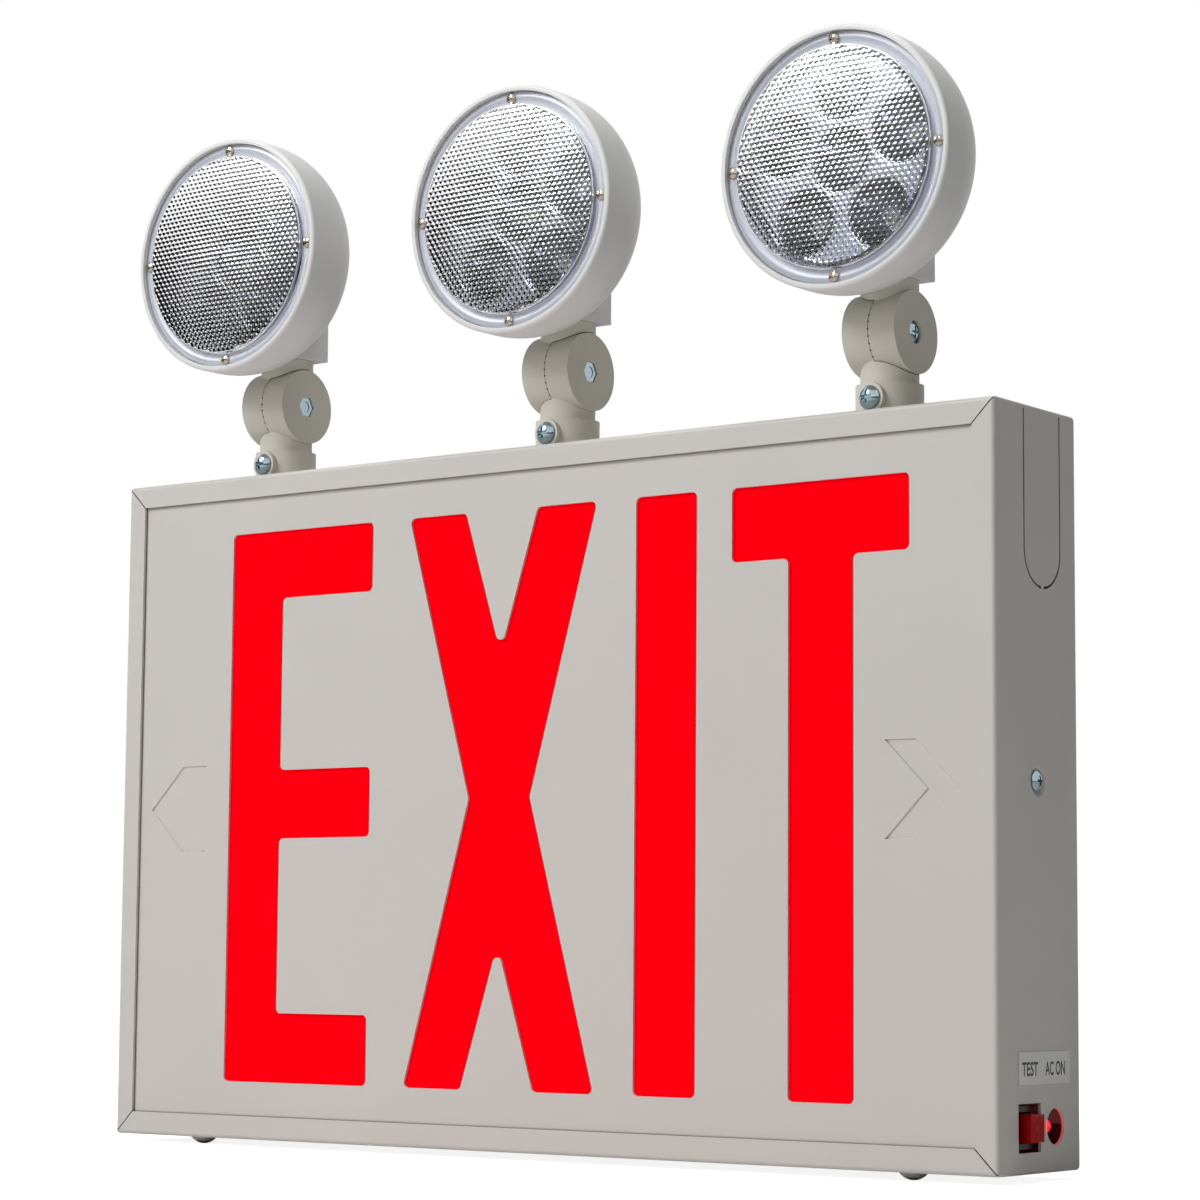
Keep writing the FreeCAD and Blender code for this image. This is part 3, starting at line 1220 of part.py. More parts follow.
os.makedirs("parts", exist_ok=True)
for thing in nodes:
    thing.Shape.exportStep("parts/%s.step" % thing.Label)
    print(thing.Label, len(thing.Shape.Solids), round(thing.Shape.Volume, 1))
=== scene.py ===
import math

import bpy
import numpy as np
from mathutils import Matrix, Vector


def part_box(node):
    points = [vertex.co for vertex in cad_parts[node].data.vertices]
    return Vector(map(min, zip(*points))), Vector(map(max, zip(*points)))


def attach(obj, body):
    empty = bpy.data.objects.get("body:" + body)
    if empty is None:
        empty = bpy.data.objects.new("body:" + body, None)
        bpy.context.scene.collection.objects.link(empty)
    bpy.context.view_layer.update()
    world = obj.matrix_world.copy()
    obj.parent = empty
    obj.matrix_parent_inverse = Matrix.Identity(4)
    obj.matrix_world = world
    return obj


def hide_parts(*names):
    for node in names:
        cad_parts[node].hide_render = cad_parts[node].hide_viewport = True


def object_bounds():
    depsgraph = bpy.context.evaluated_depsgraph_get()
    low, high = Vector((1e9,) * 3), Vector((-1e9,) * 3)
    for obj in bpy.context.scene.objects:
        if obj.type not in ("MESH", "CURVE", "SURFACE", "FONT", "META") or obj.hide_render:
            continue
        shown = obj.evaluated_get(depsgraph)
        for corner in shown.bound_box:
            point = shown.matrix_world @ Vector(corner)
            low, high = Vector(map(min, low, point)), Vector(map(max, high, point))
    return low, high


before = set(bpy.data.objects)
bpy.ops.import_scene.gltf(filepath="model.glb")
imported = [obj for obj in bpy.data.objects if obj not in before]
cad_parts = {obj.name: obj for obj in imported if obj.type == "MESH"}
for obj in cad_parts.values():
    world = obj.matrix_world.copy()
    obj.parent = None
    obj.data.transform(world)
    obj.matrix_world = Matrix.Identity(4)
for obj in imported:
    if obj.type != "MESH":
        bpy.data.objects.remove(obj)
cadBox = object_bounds()
print("frame loaded")


# finishes

def addNode(tree, kind, **values):
    # each value goes to the input socket of that name, or to the node's own setting
    node = tree.nodes.new(kind)
    for key, value in values.items():
        if key in node.inputs:
            node.inputs[key].default_value = value
        else:
            setattr(node, key, value)
    return node


def toLinear(colour):
    # from screen values to linear light, by the sRGB curve
    c = np.asarray(colour, dtype=float)
    c = np.where(c <= 0.04045, c / 12.92, ((c + 0.055) / 1.055) ** 2.4)
    return (*c.tolist(), 1.0)


plainFinish = {  # what a finish has unless its own row says otherwise
    "driftScale": 18.0,  # of the slow change of colour
    "driftDetail": 3.0,
    "driftShade": 0.965,  # second colour over the first
    "grainScale": 900.0,  # of the fine noise in the roughness and the bump
    "grainDetail": 2.0,
    "roughSpread": (0.88, 1.12),
    "bump": 0.1,
    "bumpDepth": 0.0001,
    "metal": 0.0,
    "clear": 0.0,
    "ior": 1.5,
    "specular": 0.5,
    "seamReach": 0.0012,
    "seamRange": (0.35, 0.8),  # openness at which the painted seam shade is full, and at which it is gone
    "seamSamples": 8,
    "frontRange": (-0.5, -0.9),  # y of the normal where a front glow begins, and where it is full
}
finishes = {
    # a finish's seam colour is painted shade, laid into its narrow gaps and inner corners
    "powderCoat": {"colour": (0.80, 0.785, 0.765), "rough": 0.5, "bump": 0.12, "grainScale": 700.0,
                   "specular": 0.35, "seam": (0.20, 0.16, 0.12)},
    "redAcrylic": {"colour": (0.84, 0.0, 0.03), "colour2": (0.82, 0.0, 0.03), "rough": 0.55,
                   "specular": 0.0, "glow": (1.0, 0.0, 0.09), "glowLevel": 0.42, "glowFront": True,
                   "bump": 0.03},
    "railPaint": {"colour": (0.90, 0.90, 0.88), "rough": 0.3},
    "zincPlate": {"colour": (0.70, 0.77, 0.80), "colour2": (0.54, 0.62, 0.66), "rough": 0.06,
                  "metal": 1.0},
    "nickelPlate": {"colour": (0.82, 0.79, 0.74), "colour2": (0.60, 0.56, 0.50), "rough": 0.08,
                    "metal": 1.0},
    "circuitBoard": {"colour": (0.10, 0.32, 0.18), "rough": 0.3},
    "lampBoard": {"colour": (0.90, 0.90, 0.88), "rough": 0.35},
    "ledEpoxy": {"colour": (0.95, 0.90, 0.62), "rough": 0.2},
    "batterySleeve": {"colour": (0.12, 0.25, 0.52), "rough": 0.3},
    "laminations": {"colour": (0.22, 0.20, 0.19), "rough": 0.6, "bump": 0.4},
    "greenNylon": {"colour": (0.14, 0.40, 0.20), "rough": 0.4},
    "naturalNylon": {"colour": (0.86, 0.85, 0.80), "rough": 0.4},
    "blackPlastic": {"colour": (0.035, 0.033, 0.035), "colour2": (0.05, 0.045, 0.045), "rough": 0.42},
    "buttonRed": {"colour": (0.66, 0.0, 0.03), "rough": 0.4, "bump": 0.05, "specular": 0.15},
    "pilotRed": {"colour": (1.0, 0.03, 0.06), "rough": 0.1, "glow": (1.0, 0.02, 0.10), "glowLevel": 4.0},
    "printedFilm": {"colour": (0.86, 0.86, 0.85), "rough": 0.38, "bump": 0.05},
    # the seam colour here is painted shade in the arms' corners and gaps
    "armMoulding": {"colour": (0.85, 0.835, 0.79), "rough": 0.5, "bump": 0.15, "grainScale": 500.0,
                    "specular": 0.3, "seam": (0.30, 0.25, 0.20), "seamReach": 0.0006},
    "lampMoulding": {"colour": (0.88, 0.88, 0.875), "rough": 0.42, "bump": 0.08, "grainScale": 600.0},
    "clearLens": {"colour": (0.88, 0.89, 0.92), "colour2": (0.86, 0.87, 0.90), "rough": 0.02, "clear": 1.0,
                  "bump": 0.0},
    "frostedRing": {"colour": (0.80, 0.815, 0.85), "colour2": (0.76, 0.78, 0.83), "rough": 0.4,
                    "clear": 0.25, "ior": 1.45, "bump": 0.05},
    # painted shade: the grey of the block that fills the slit beside the back pan
    "slitShadeGrey": {"colour": (0.34, 0.33, 0.32), "colour2": (0.28, 0.275, 0.27), "rough": 0.85, "bump": 0.5},
    "emitterDome": {"colour": (0.90, 0.88, 0.74), "colour2": (0.84, 0.80, 0.62), "rough": 0.15,
                    "clear": 0.4, "ior": 1.45, "bump": 0.02},
    "cupMetal": {"colour": (0.62, 0.63, 0.65), "colour2": (0.56, 0.57, 0.59), "rough": 0.04,
                 "metal": 1.0, "bump": 0.02},
    "brightMetal": {"colour": (0.86, 0.865, 0.875), "colour2": (0.82, 0.825, 0.84), "rough": 0.06,
                    "metal": 1.0, "bump": 0.02},
    "blackCloth": {"colour": (0.10, 0.10, 0.11), "rough": 0.9, "specular": 0.1},
    "blackInk": {"colour": (0.03, 0.03, 0.035), "rough": 0.5},
}


def seamShade(tree, tint, f):
    # painted shade: narrow gaps and inner corners are darkened towards the seam colour, the more the closer
    # in they are
    nook = addNode(tree, "ShaderNodeAmbientOcclusion", samples=f["seamSamples"], Distance=f["seamReach"])
    openness = addNode(tree, "ShaderNodeMapRange")
    openness.inputs["From Min"].default_value = f["seamRange"][0]
    openness.inputs["From Max"].default_value = f["seamRange"][1]
    shadedTint = addNode(tree, "ShaderNodeMix", data_type="RGBA")
    shadedTint.inputs["A"].default_value = toLinear(f["seam"])
    tree.links.new(nook.outputs["AO"], openness.inputs["Value"])
    tree.links.new(openness.outputs["Result"], shadedTint.inputs["Factor"])
    tree.links.new(tint, shadedTint.inputs["B"])
    return shadedTint.outputs["Result"]


def frontGlow(tree, shader, place, f):
    # only faces turned to the front glow
    facing = addNode(tree, "ShaderNodeSeparateXYZ")
    level = addNode(tree, "ShaderNodeMapRange")
    level.inputs["From Min"].default_value = f["frontRange"][0]
    level.inputs["From Max"].default_value = f["frontRange"][1]
    level.inputs["To Max"].default_value = f["glowLevel"]
    tree.links.new(place.outputs["Normal"], facing.inputs["Vector"])
    tree.links.new(facing.outputs["Y"], level.inputs["Value"])
    tree.links.new(level.outputs["Result"], shader.inputs["Emission Strength"])


def finish(name, values):
    # one shader for every surface: a base colour that drifts a little from place to place, and a
    # roughness and a bump that both follow a second, finer noise
    f = {**plainFinish, **values}
    mat = bpy.data.materials.new(name)
    mat.use_nodes = True
    tree = mat.node_tree
    shader = tree.nodes["Principled BSDF"]
    place = addNode(tree, "ShaderNodeTexCoord")
    drift = addNode(tree, "ShaderNodeTexNoise", Scale=f["driftScale"], Detail=f["driftDetail"])
    grain = addNode(tree, "ShaderNodeTexNoise", Scale=f["grainScale"], Detail=f["grainDetail"])
    tree.links.new(place.outputs["Object"], drift.inputs["Vector"])
    tree.links.new(place.outputs["Object"], grain.inputs["Vector"])
    ramp = addNode(tree, "ShaderNodeMix", data_type="RGBA")
    ramp.inputs["A"].default_value = toLinear(f["colour"])
    ramp.inputs["B"].default_value = toLinear(f.get("colour2", [c * f["driftShade"] for c in f["colour"]]))
    tree.links.new(drift.outputs["Fac"], ramp.inputs["Factor"])
    tint = ramp.outputs["Result"]
    # painted shade: the seam colour is laid into narrow gaps and inner corners
    if "seam" in f:
        tint = seamShade(tree, tint, f)
    tree.links.new(tint, shader.inputs["Base Color"])
    rough = addNode(tree, "ShaderNodeMapRange")
    rough.inputs["To Min"].default_value = f["rough"] * f["roughSpread"][0]
    rough.inputs["To Max"].default_value = f["rough"] * f["roughSpread"][1]
    tree.links.new(grain.outputs["Fac"], rough.inputs["Value"])
    tree.links.new(rough.outputs["Result"], shader.inputs["Roughness"])
    bump = addNode(tree, "ShaderNodeBump", Strength=f["bump"], Distance=f["bumpDepth"])
    tree.links.new(grain.outputs["Fac"], bump.inputs["Height"])
    tree.links.new(bump.outputs["Normal"], shader.inputs["Normal"])
    shader.inputs["Metallic"].default_value = f["metal"]
    shader.inputs["Transmission Weight"].default_value = f["clear"]
    shader.inputs["IOR"].default_value = f["ior"]
    shader.inputs["Specular IOR Level"].default_value = f["specular"]
    if "glow" in f:
        shader.inputs["Emission Color"].default_value = toLinear(f["glow"])
        shader.inputs["Emission Strength"].default_value = f["glowLevel"]
    if "glowFront" in f:
        frontGlow(tree, shader, place, f)
    return mat


materials = {name: finish(name, values) for name, values in finishes.items()}
print("finishes made")


# what each solid wears

wear = {
    "housing": "powderCoat", "face_plate": "powderCoat", "back_pan": "powderCoat",
    "hole_plugs": "powderCoat", "red_diffuser": "redAcrylic", "end_screws": "zincPlate",
    "top_light_rail": "railPaint", "bottom_light_rail": "railPaint",
    "top_led_strip": "circuitBoard", "bottom_led_strip": "circuitBoard",
    "sign_leds": "ledEpoxy", "battery_pack": "batterySleeve", "battery_strap": "zincPlate",
    "charger_board": "circuitBoard", "board_standoffs": "naturalNylon", "terminal_block": "greenNylon",
    "transformer": "laminations", "indicator_bracket": "zincPlate", "test_switch": "blackPlastic",
    "test_button": "buttonRed", "pilot_led": "pilotRed", "pilot_led_holder": "blackPlastic",
    "legend_plate": "printedFilm",
}
lampWear = {
    "collar": "armMoulding", "lock_nut": "zincPlate", "clamp_screw": "zincPlate", "stem": "armMoulding",
    "pivot_nut": "zincPlate", "pivot_screw": "zincPlate", "neck": "armMoulding", "head": "lampMoulding",
    "lens": "clearLens", "reflector": "brightMetal", "led_board": "lampBoard", "lens_screws": "nickelPlate",
}
lamps = ("lamp1", "lamp2", "lamp3")


def dress(nodeName, finishName):
    # all slots of a solid take the finish; a solid without slots gets one
    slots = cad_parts[nodeName].data.materials
    if len(slots) == 0:
        slots.append(materials[finishName])
    for i in range(len(slots)):
        slots[i] = materials[finishName]


for nodeName, finishName in wear.items():
    dress(nodeName, finishName)
for lamp in lamps:
    for part, finishName in lampWear.items():
        dress(lamp + "_" + part, finishName)
print("finishes on")


# meshes from arrays

hair = 0.0001  # a hair's breadth, for telling faces apart by their place


def addObject(name, data):
    thing = bpy.data.objects.new(name, data)
    bpy.context.scene.collection.objects.link(thing)
    return thing


def gridMesh(name, points, material):
    # points has shape (rows, columns, 3); columns wrap round, and the first and last rows are poles
    rows, columns = points.shape[:2]
    body = points[1:-1].reshape(-1, 3)
    count = len(body)
    verts = np.vstack([body, points[0, 0], points[-1, 0]])
    index = np.arange(count).reshape(rows - 2, columns)
    around = np.roll(index, -1, axis=1)
    quads = np.stack([index[:-1], index[1:], around[1:], around[:-1]], axis=-1).reshape(-1, 4)
    first = np.stack([np.full(columns, count), index[0], around[0]], axis=-1)
    last = np.stack([np.full(columns, count + 1), around[-1], index[-1]], axis=-1)
    mesh = bpy.data.meshes.new(name)
    mesh.from_pydata(verts.tolist(), [], quads.tolist() + first.tolist() + last.tolist())
    mesh.validate()
    mesh.polygons.foreach_set("use_smooth", np.ones(len(mesh.polygons), dtype=bool))
    mesh.materials.append(material)
    return addObject(name, mesh)


def discGrid(radii, columns):
    # rings about the y axis: x is the radius times the sine of the turn, z times its cosine
    turn = np.linspace(0, 2 * math.pi, columns, endpoint=False)
    return radii[:, None] * np.sin(turn), radii[:, None] * np.cos(turn)


def faceMiddles(piece):
    middles = np.empty(len(piece.data.polygons) * 3)
    piece.data.polygons.foreach_get("center", middles)
    return middles.reshape(-1, 3)


# prismatic lens of each lamp

lensShape = {
    "crown": 0.0020,  # height of the domed front
    "step": 0.0023,  # from the crown's edge back to the ring
    "thickness": 0.0018,
    "ringWidth": 0.0049,
    "ringBead": 0.0004,  # height of the raised line on the ring
    "beadAt": 0.62,  # across the ring, from 0 at its inner edge to 1
    "beadWidth": 0.16,
    "edgeRow": 0.0004,  # a row just behind the crown's edge keeps that edge crisp
    "footRow": 0.0002,  # and one just outside the step's foot does the same there
    "cellPitch": 0.0020,
    "cellStretch": 1.15,  # the regular hexagons are drawn out sideways by this
    "cellHeight": 0.00026,  # how far the middle of a cell stands proud of its corners
    "cellFade": 0.0006,  # strip at the crown's edge in which the cells fade out
    "rows": 124,
    "ringRows": 9,
    "backRows": 24,
    "columns": 480,
}


def honeycomb(x, z, pitch, height):
    # a rounded cap on each cell: height times one minus the square of the distance to the
    # nearest centre over the cell's outer radius; the centres lie on two rectangular grids
    tall = pitch * math.sqrt(3)
    dx = x - np.round(x / pitch) * pitch
    dz = z - np.round(z / tall) * tall
    ex = x - (np.floor(x / pitch) + 0.5) * pitch
    ez = z - (np.floor(z / tall) + 0.5) * tall
    near = np.minimum(dx ** 2 + dz ** 2, ex ** 2 + ez ** 2)
    return height * (1 - near / (pitch ** 2 / 3))


def lensOutline(outer, inner, pole, back):
    # radius and y of each row: crown, step, ring, back of the ring, and the hollow behind the crown.
    # The crown and the hollow are the crown's height times one minus the square of the radius over
    # the full radius; the bead is its height times a bell curve across the ring
    s = lensShape
    edge = pole + s["crown"]
    ring = edge + s["step"]
    crownR = np.linspace(0, inner, s["rows"])
    crownY = edge - s["crown"] * (1 - (crownR / inner) ** 2)
    across = np.linspace(0, 1, s["ringRows"])
    ringR = inner + s["footRow"] + (outer - inner - s["footRow"]) * across
    ringY = ring - s["ringBead"] * np.exp(-((across - s["beadAt"]) / s["beadWidth"]) ** 2)
    hollow = inner - s["thickness"]
    backR = np.linspace(hollow, 0, s["backRows"])
    backY = edge + s["thickness"] - s["crown"] * (1 - (backR / hollow) ** 2)
    radii = np.concatenate([crownR, [inner, inner], ringR, [outer, hollow], backR])
    places = np.concatenate([crownY, [edge + s["edgeRow"], ring], ringY, [back, back], backY])
    return radii, places


def lensPiece(lamp):
    s = lensShape
    low, high = (np.array(c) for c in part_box(lamp + "_lens"))
    centre = (low + high) / 2
    outer = (high[0] - low[0]) / 2
    inner = outer - s["ringWidth"]
    radii, places = lensOutline(outer, inner, low[1], high[1])
    x, z = discGrid(radii, s["columns"])
    y = np.repeat(places[:, None], s["columns"], axis=1)
    # the crown is pressed back between the caps of the cells, and not at all at its edge
    rows = s["rows"]
    cells = honeycomb(x[:rows] / s["cellStretch"], z[:rows], s["cellPitch"], s["cellHeight"])
    fade = np.clip((inner - radii[:rows, None]) / s["cellFade"], 0, 1)
    y[:rows] += (s["cellHeight"] - cells) * fade
    points = np.stack([x + centre[0], y, z + centre[2]], axis=-1)
    piece = gridMesh(lamp + "_prismLens", points, materials["clearLens"])
    piece.data.materials.append(materials["frostedRing"])
    middles = faceMiddles(piece)
    away = np.hypot(middles[:, 0] - centre[0], middles[:, 2] - centre[2])
    onRing = (away > inner + hair).astype(np.int32)
    piece.data.polygons.foreach_set("material_index", onRing)
    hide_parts(lamp + "_lens")
    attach(piece, lamp + "_lamp_head")


for lamp in lamps:
    lensPiece(lamp)
print("lenses made")


# bright reflector behind each lens

reflectorShape = {
    "outerCups": 5,  # round one in the middle
    "cupCircle": 0.652,  # of the reflector's radius
    "cupMouth": 0.290,  # of the reflector's radius
    "rimRound": 0.0007,
    "throat": 0.0036,
    "floorWall": 0.0003,  # left behind the throats
    "domeRadius": 0.7,  # of the throat
    "domeHeight": 0.0016,
    "domeFinish": 0.72,  # of the throat: up to here a face is the emitter's
    "cupFinish": 0.96,  # of the mouth: up to here a face is the cup's
    "rows": 120,
    "columns": 360,
}


def cupCentres(outer):
    s = reflectorShape
    around = np.radians(np.arange(s["outerCups"]) * 360.0 / s["outerCups"])
    x = np.concatenate([[0.0], outer * s["cupCircle"] * np.sin(around)])
    z = np.concatenate([[0.0], outer * s["cupCircle"] * np.cos(around)])
    return x, z


def cupDepth(gap, mouth, deep):
    # the bowl is one minus the square of the gap to the nearest cup's centre over the mouth's
    # radius, softened at the mouth. The depth is the full depth times the bowl over its level at
    # the throat, and flat inside the throat. An emitter's dome stands there: its height times the
    # root of one minus the square of the gap over the dome's radius
    s = reflectorShape
    bowl = 1 - (gap / mouth) ** 2
    throatLevel = 1 - (s["throat"] / mouth) ** 2
    soft = s["rimRound"] / mouth
    bowl = 0.5 * (bowl + np.sqrt(bowl ** 2 + soft ** 2))
    depth = (deep - s["floorWall"]) * np.minimum(bowl / throatLevel, 1.0)
    dome = np.sqrt(np.clip(1 - (gap / (s["throat"] * s["domeRadius"])) ** 2, 0, 1))
    return depth - s["domeHeight"] * dome


def reflectorPiece(lamp):
    s = reflectorShape
    low, high = (np.array(c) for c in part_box(lamp + "_reflector"))
    centre = (low + high) / 2
    outer = (high[0] - low[0]) / 2
    mouth = outer * s["cupMouth"]
    cupX, cupZ = cupCentres(outer)
    x, z = discGrid(np.linspace(0, outer, s["rows"]), s["columns"])
    gap = np.min(np.hypot(x[..., None] - cupX, z[..., None] - cupZ), axis=-1)
    depth = cupDepth(gap, mouth, high[1] - low[1])
    front = np.stack([x, low[1] + depth, z], axis=-1)
    back = np.stack([x[-1:], np.full_like(x[-1:], high[1]), z[-1:]], axis=-1)
    middle = np.zeros_like(back)
    middle[..., 1] = high[1]
    points = np.concatenate([front, back, middle]) + np.array((centre[0], 0.0, centre[2]))
    piece = gridMesh(lamp + "_cups", points, materials["brightMetal"])
    piece.data.materials.append(materials["emitterDome"])
    piece.data.materials.append(materials["cupMetal"])
    middles = faceMiddles(piece)
    toCup = np.hypot(middles[:, :1] - centre[0] - cupX, middles[:, 2:] - centre[2] - cupZ).min(axis=1)
    facing = middles[:, 1] < high[1] - hair
    onDome = facing & (toCup < s["throat"] * s["domeFinish"])
    inCup = facing & (toCup < mouth * s["cupFinish"]) & ~onDome
    piece.data.polygons.foreach_set("material_index", onDome.astype(np.int32) + 2 * inCup.astype(np.int32))
    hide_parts(lamp + "_reflector")
    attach(piece, lamp + "_lamp_head")


for lamp in lamps:
    reflectorPiece(lamp)
print("reflectors made")


# test button in the end wall

buttonShape = {
    "shrink": (0.0016, 0.00045, 0.0004),  # less reach, then off each side
    "edge": 0.00035,
    "dish": 0.00012,
    "dishRings": (0.85, 0.6, 0.3),  # of the flat face's half width
    "cornerPoints": 7,
    "edgeRings": 6,
}


def testButton():
    s = buttonShape
    low, high = (np.array(c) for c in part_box("test_button"))
    reach, sideY, sideZ = s["shrink"]
    low = low + np.array((0.0, sideY, sideZ))
    high = high - np.array((reach, sideY, sideZ))
    half = (high - low) / 2
    centre = (low + high) / 2
    # outline of a rounded rectangle: at each corner's centre a quarter turn of the edge's radius
    quarter = np.linspace(0, math.pi / 2, s["cornerPoints"])
    turn = np.concatenate([quarter + k * math.pi / 2 for k in range(4)])
    signY = np.repeat((1, -1, -1, 1), s["cornerPoints"])
    signZ = np.repeat((1, 1, -1, -1), s["cornerPoints"])

    def ring(inset, x):
        edge = s["edge"]
        y = signY * (half[1] - edge) + (edge - inset) * np.cos(turn)
        z = signZ * (half[2] - edge) + (edge - inset) * np.sin(turn)
        return np.stack([np.full(len(turn), x), centre[1] + y, centre[2] + z], axis=-1)

    # rings from the foot to the face: straight sides, a quarter-round edge, then a shallow dish,
    # which is its depth times one minus the square of the ring's share of the face
    bend = np.linspace(0, math.pi / 2, s["edgeRings"])
    rings = [ring(0.0, low[0])]
    rings += [ring(s["edge"] * (1 - math.cos(a)), high[0] - s["edge"] * (1 - math.sin(a))) for a in bend]
    flat = rings[-1]
    middle = np.array((0.0, centre[1], centre[2]))
    for share in s["dishRings"]:
        inner = middle + (flat - middle) * share
        inner[:, 0] = high[0] - s["dish"] * (1 - share ** 2)
        rings.append(inner)
    tip = np.tile((high[0] - s["dish"], centre[1], centre[2]), (len(turn), 1))
    foot = np.tile((low[0], centre[1], centre[2]), (len(turn), 1))
    points = np.stack([foot] + rings + [tip])
    piece = gridMesh("pressButton", points, materials["buttonRed"])
    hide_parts("test_button")
    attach(piece, "test_button")


testButton()
print("button made")


# grey block in the lower right corner, which closes the slit of daylight beside the back pan; its grey is
# painted shade for that slit

sealShape = {
    "size": (0.0105, 0.0017, 0.0130),
    "inset": (0.0013, 0.0013),  # in from the housing's right side, and up from its bottom
    "front": 0.0014,  # forward of the housing's back
    "round": 0.0005,
    "push": 40,  # a point moves the full way from 1/40 of the sphere's radius off a middle plane
    "rings": 18,
    "columns": 32,
}


def cornerSeal():
    s = sealShape
    low, high = (np.array(c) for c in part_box("housing"))
    size = np.array(s["size"])
    centre = np.array((high[0] - s["inset"][0] - size[0] / 2, high[1] - s["front"] - size[1] / 2,
                       low[2] + s["inset"][1] + size[2] / 2))
    # a rounded block: every point of a sphere is moved outwards on each axis by the block's half
    # size less the rounding, and by less where it lies close to the sphere's middle plane. The
    # points are rounded to nine decimals for their side, so that nought stays nought
    across = np.linspace(0, math.pi, s["rings"])
    step = 360.0 / s["columns"]
    turn = np.radians(np.arange(s["columns"]) * step + step / 2)
    fall, angle = np.meshgrid(across, turn, indexing="ij")
    ball = np.stack([np.sin(fall) * np.cos(angle), np.cos(fall), np.sin(fall) * np.sin(angle)], axis=-1)
    core = size / 2 - s["round"]
    side = np.sign(np.round(ball, 9))
    points = centre + side * core * np.minimum(np.abs(ball) * s["push"], 1) + ball * s["round"]
    piece = gridMesh("cornerSeal", points, materials["slitShadeGrey"])
    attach(piece, "sign_box")


cornerSeal()
print("corner seal made")


# printed legend on the end plate

legend = {
    "words": (("TEST", -0.0350, 0.0103), ("AC ON", -0.0186, 0.0130)),  # word, middle in y, width
    "height": 0.0045,
    "rise": -0.0002,  # of the words above the plate's middle
    "ink": 0.00004,  # thickness
    "drawnAt": 0.01,  # size of the letters before they are fitted
    "weight": 0.00022,  # added to the strokes at that size
}


def legendText():
    low, high = (np.array(c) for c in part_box("legend_plate"))
    for word, along, width in legend["words"]:
        curve = bpy.data.curves.new("ink", "FONT")
        curve.body = word
        curve.size = legend["drawnAt"]
        curve.extrude = legend["ink"] / 2
        curve.offset = legend["weight"]
        maker = addObject("ink", curve)
        bpy.context.view_layer.update()
        mesh = bpy.data.meshes.new_from_object(maker.evaluated_get(bpy.context.evaluated_depsgraph_get()))
        bpy.data.objects.remove(maker)
        flat = np.empty(len(mesh.vertices) * 3)
        mesh.vertices.foreach_get("co", flat)
        flat = flat.reshape(-1, 3)
        least, most = flat.min(0), flat.max(0)
        unit = (flat - least) / (most - least)
        # letters run towards the wall, so that they read from the end
        placed = np.empty_like(flat)
        placed[:, 0] = high[0] - legend["ink"] / 2 + unit[:, 2] * legend["ink"]
        placed[:, 1] = along + (unit[:, 0] - 0.5) * width
        placed[:, 2] = (low[2] + high[2]) / 2 + legend["rise"] + (unit[:, 1] - 0.5) * legend["height"]
        mesh.vertices.foreach_set("co", placed.ravel())
        mesh.update()
        mesh.materials.clear()
        mesh.materials.append(materials["blackInk"])
        piece = addObject("legend_" + word.replace(" ", "_"), mesh)
        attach(piece, "sign_box")


legendText()
print("legend printed")


# floor, light and camera

white = (1.0, 1.0, 1.0, 1.0)
studio = {
    "worldLevel": 0.055,  # light of the surroundings on matt surfaces
    "lampAim": (0.0, -0.03, 0.03),
    "key": {"at": (-0.85, -1.75, 1.65), "size": 1.3, "watts": 48.5},
    "fill": {"at": (0.9, -2.2, 0.5), "size": 1.6, "watts": 1.0},
    "top": {"at": (0.17, 0.0, 1.2), "size": 0.5, "watts": 5.0},
}
paleFloor = {
    "half": 6.0,  # half the floor's side
    "colour": (0.9, 0.9, 0.9, 1.0),
    "rough": 0.9,
    "ownLight": 0.88,  # seen by the camera alone, it takes the floor to white
}
flagWall = {
    "radius": 2.7,
    "turns": (-80.0, 75.0),  # from left to right, in degrees from straight ahead
    "heights": (-0.1, 0.30),  # of its foot and its top edge
    "rise": 0.62,  # how much the top edge climbs on the left
    "riseAt": -38.5,
    "riseOver": 2.0,  # degrees
    "points": 156,
}
view = {
    "place": (0.70795, -0.96742, -0.05696),
    "turn": (96.211, -0.421, 36.354),  # degrees
    "lens": 99.454,  # mm, as is the sensor
    "sensor": 36.0,
    "nearest": 0.01,
}


def whiteFloor():
    low = cadBox[0][2]
    half = paleFloor["half"]
    corners = [(-half, -half, low), (half, -half, low), (half, half, low), (-half, half, low)]
    mesh = bpy.data.meshes.new("floor")
    mesh.from_pydata(corners, [], [(0, 1, 2, 3)])
    floor = addObject("floor", mesh)
    mat = bpy.data.materials.new("paleFloor")
    mat.use_nodes = True
    tree = mat.node_tree
    shader = tree.nodes["Principled BSDF"]
    shader.inputs["Base Color"].default_value = paleFloor["colour"]
    shader.inputs["Roughness"].default_value = paleFloor["rough"]
    seen = addNode(tree, "ShaderNodeLightPath")
    share = addNode(tree, "ShaderNodeMath", operation="MULTIPLY")
    share.inputs[1].default_value = paleFloor["ownLight"]
    tree.links.new(seen.outputs["Is Camera Ray"], share.inputs[0])
    tree.links.new(share.outputs[0], shader.inputs["Emission Strength"])
    shader.inputs["Emission Color"].default_value = white
    mesh.materials.append(mat)


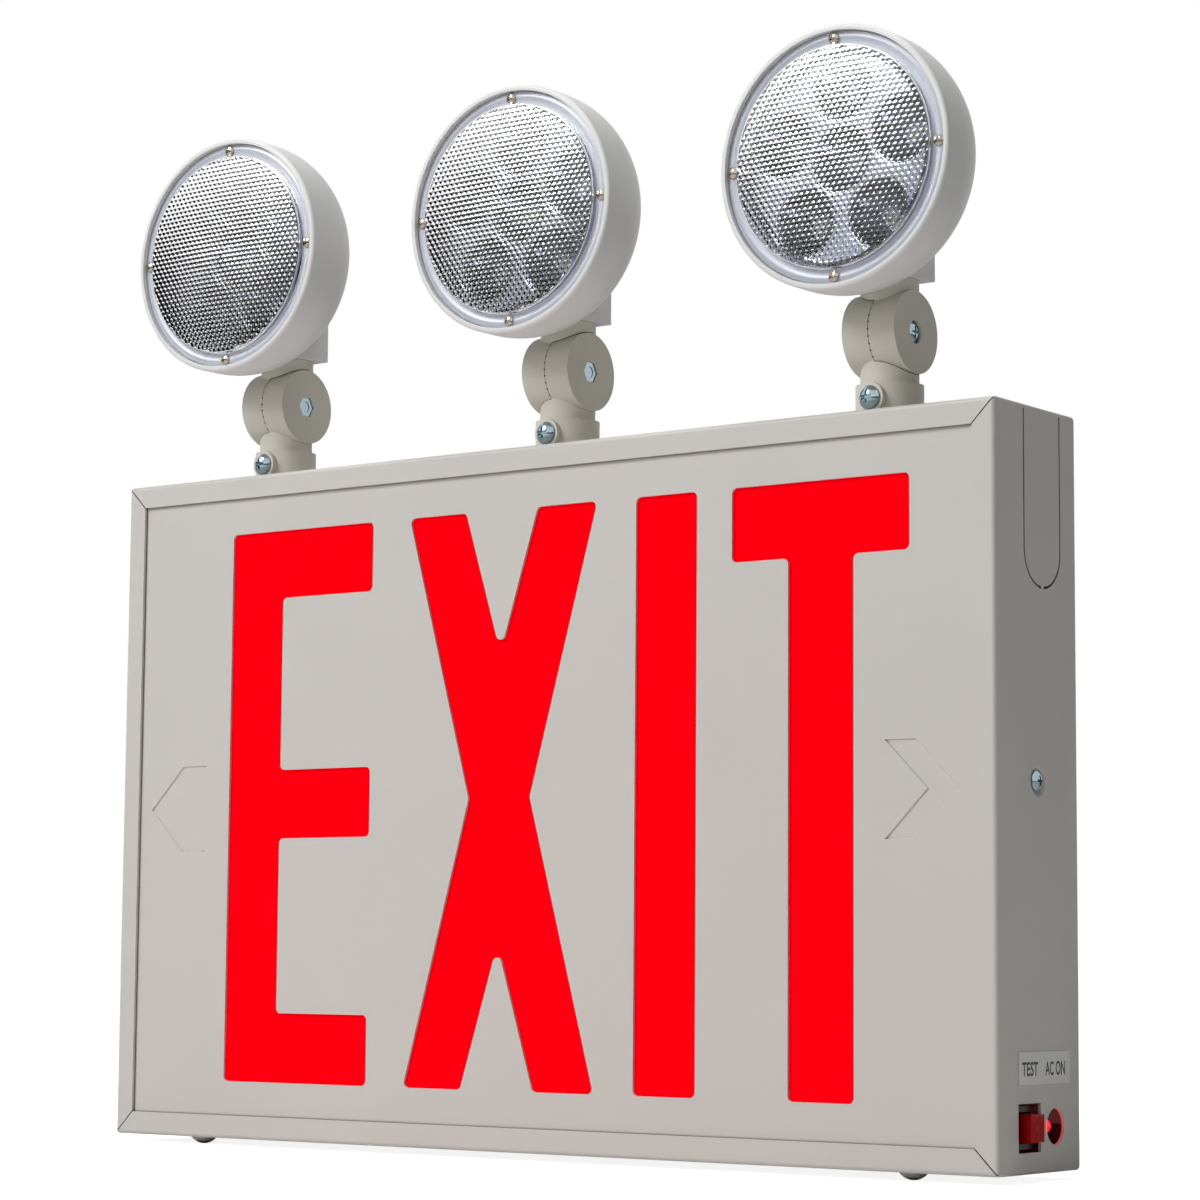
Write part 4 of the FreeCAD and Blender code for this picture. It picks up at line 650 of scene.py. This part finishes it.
def whiteWorld():
    # full white to the camera, to reflections and through glass, and much dimmer on matt surfaces
    world = bpy.data.worlds.new("studio")
    bpy.context.scene.world = world
    world.use_nodes = True
    tree = world.node_tree
    background = tree.nodes["Background"]
    background.inputs["Color"].default_value = white
    seen = addNode(tree, "ShaderNodeLightPath")
    either = addNode(tree, "ShaderNodeMath", operation="MAXIMUM")
    anyOfThree = addNode(tree, "ShaderNodeMath", operation="MAXIMUM")
    level = addNode(tree, "ShaderNodeMapRange")
    level.inputs["To Min"].default_value = studio["worldLevel"]
    level.inputs["To Max"].default_value = 1.0
    tree.links.new(seen.outputs["Is Camera Ray"], either.inputs[0])
    tree.links.new(seen.outputs["Is Glossy Ray"], either.inputs[1])
    tree.links.new(either.outputs[0], anyOfThree.inputs[0])
    tree.links.new(seen.outputs["Is Transmission Ray"], anyOfThree.inputs[1])
    tree.links.new(anyOfThree.outputs[0], level.inputs["Value"])
    tree.links.new(level.outputs["Result"], background.inputs["Strength"])


def lowFlag():
    # a dark, curved, low wall round the front, which metal mirrors and glass shows; the camera
    # doesn't see it, and it doesn't change the light on matt surfaces. Along the wall x is its
    # radius times the sine of the angle, and y is minus the radius times the cosine. The top edge
    # climbs on the left, by the rise over one plus the exponential of the angle past riseAt over
    # riseOver
    f = flagWall
    turn = np.radians(np.linspace(*f["turns"], f["points"]))
    low, high = f["heights"]
    x = f["radius"] * np.sin(turn)
    y = -f["radius"] * np.cos(turn)
    foot = np.stack([x, y, np.full(len(turn), low)], axis=-1)
    climb = f["rise"] / (1 + np.exp((np.degrees(turn) - f["riseAt"]) / f["riseOver"]))
    head = foot.copy()
    head[:, 2] += high - low + climb
    index = np.arange(len(turn) - 1)
    quads = np.stack([index, index + 1, index + len(turn) + 1, index + len(turn)], axis=-1)
    mesh = bpy.data.meshes.new("lowFlag")
    mesh.from_pydata(np.vstack([foot, head]).tolist(), [], quads.tolist())
    wall = addObject("lowFlag", mesh)
    mesh.materials.append(materials["blackCloth"])
    wall.visible_camera = False
    wall.visible_diffuse = False
    wall.visible_shadow = False


def softLamp(name):
    values = studio[name]
    data = bpy.data.lights.new(name, "AREA")
    data.shape = "DISK"
    data.size = values["size"]
    data.energy = values["watts"]
    light = addObject(name, data)
    place = Vector(values["at"])
    light.location = place
    light.rotation_euler = (Vector(studio["lampAim"]) - place).to_track_quat("-Z", "Y").to_euler()


def frontCamera():
    data = bpy.data.cameras.new("camera")
    data.lens = view["lens"]
    data.sensor_width = view["sensor"]
    data.clip_start = view["nearest"]
    camera = addObject("camera", data)
    camera.location = view["place"]
    camera.rotation_euler = [math.radians(a) for a in view["turn"]]
    bpy.context.scene.camera = camera


whiteFloor()
whiteWorld()
lowFlag()
for name in ("key", "fill", "top"):
    softLamp(name)
frontCamera()
bpy.context.scene.view_settings.view_transform = "Standard"
print("studio set")
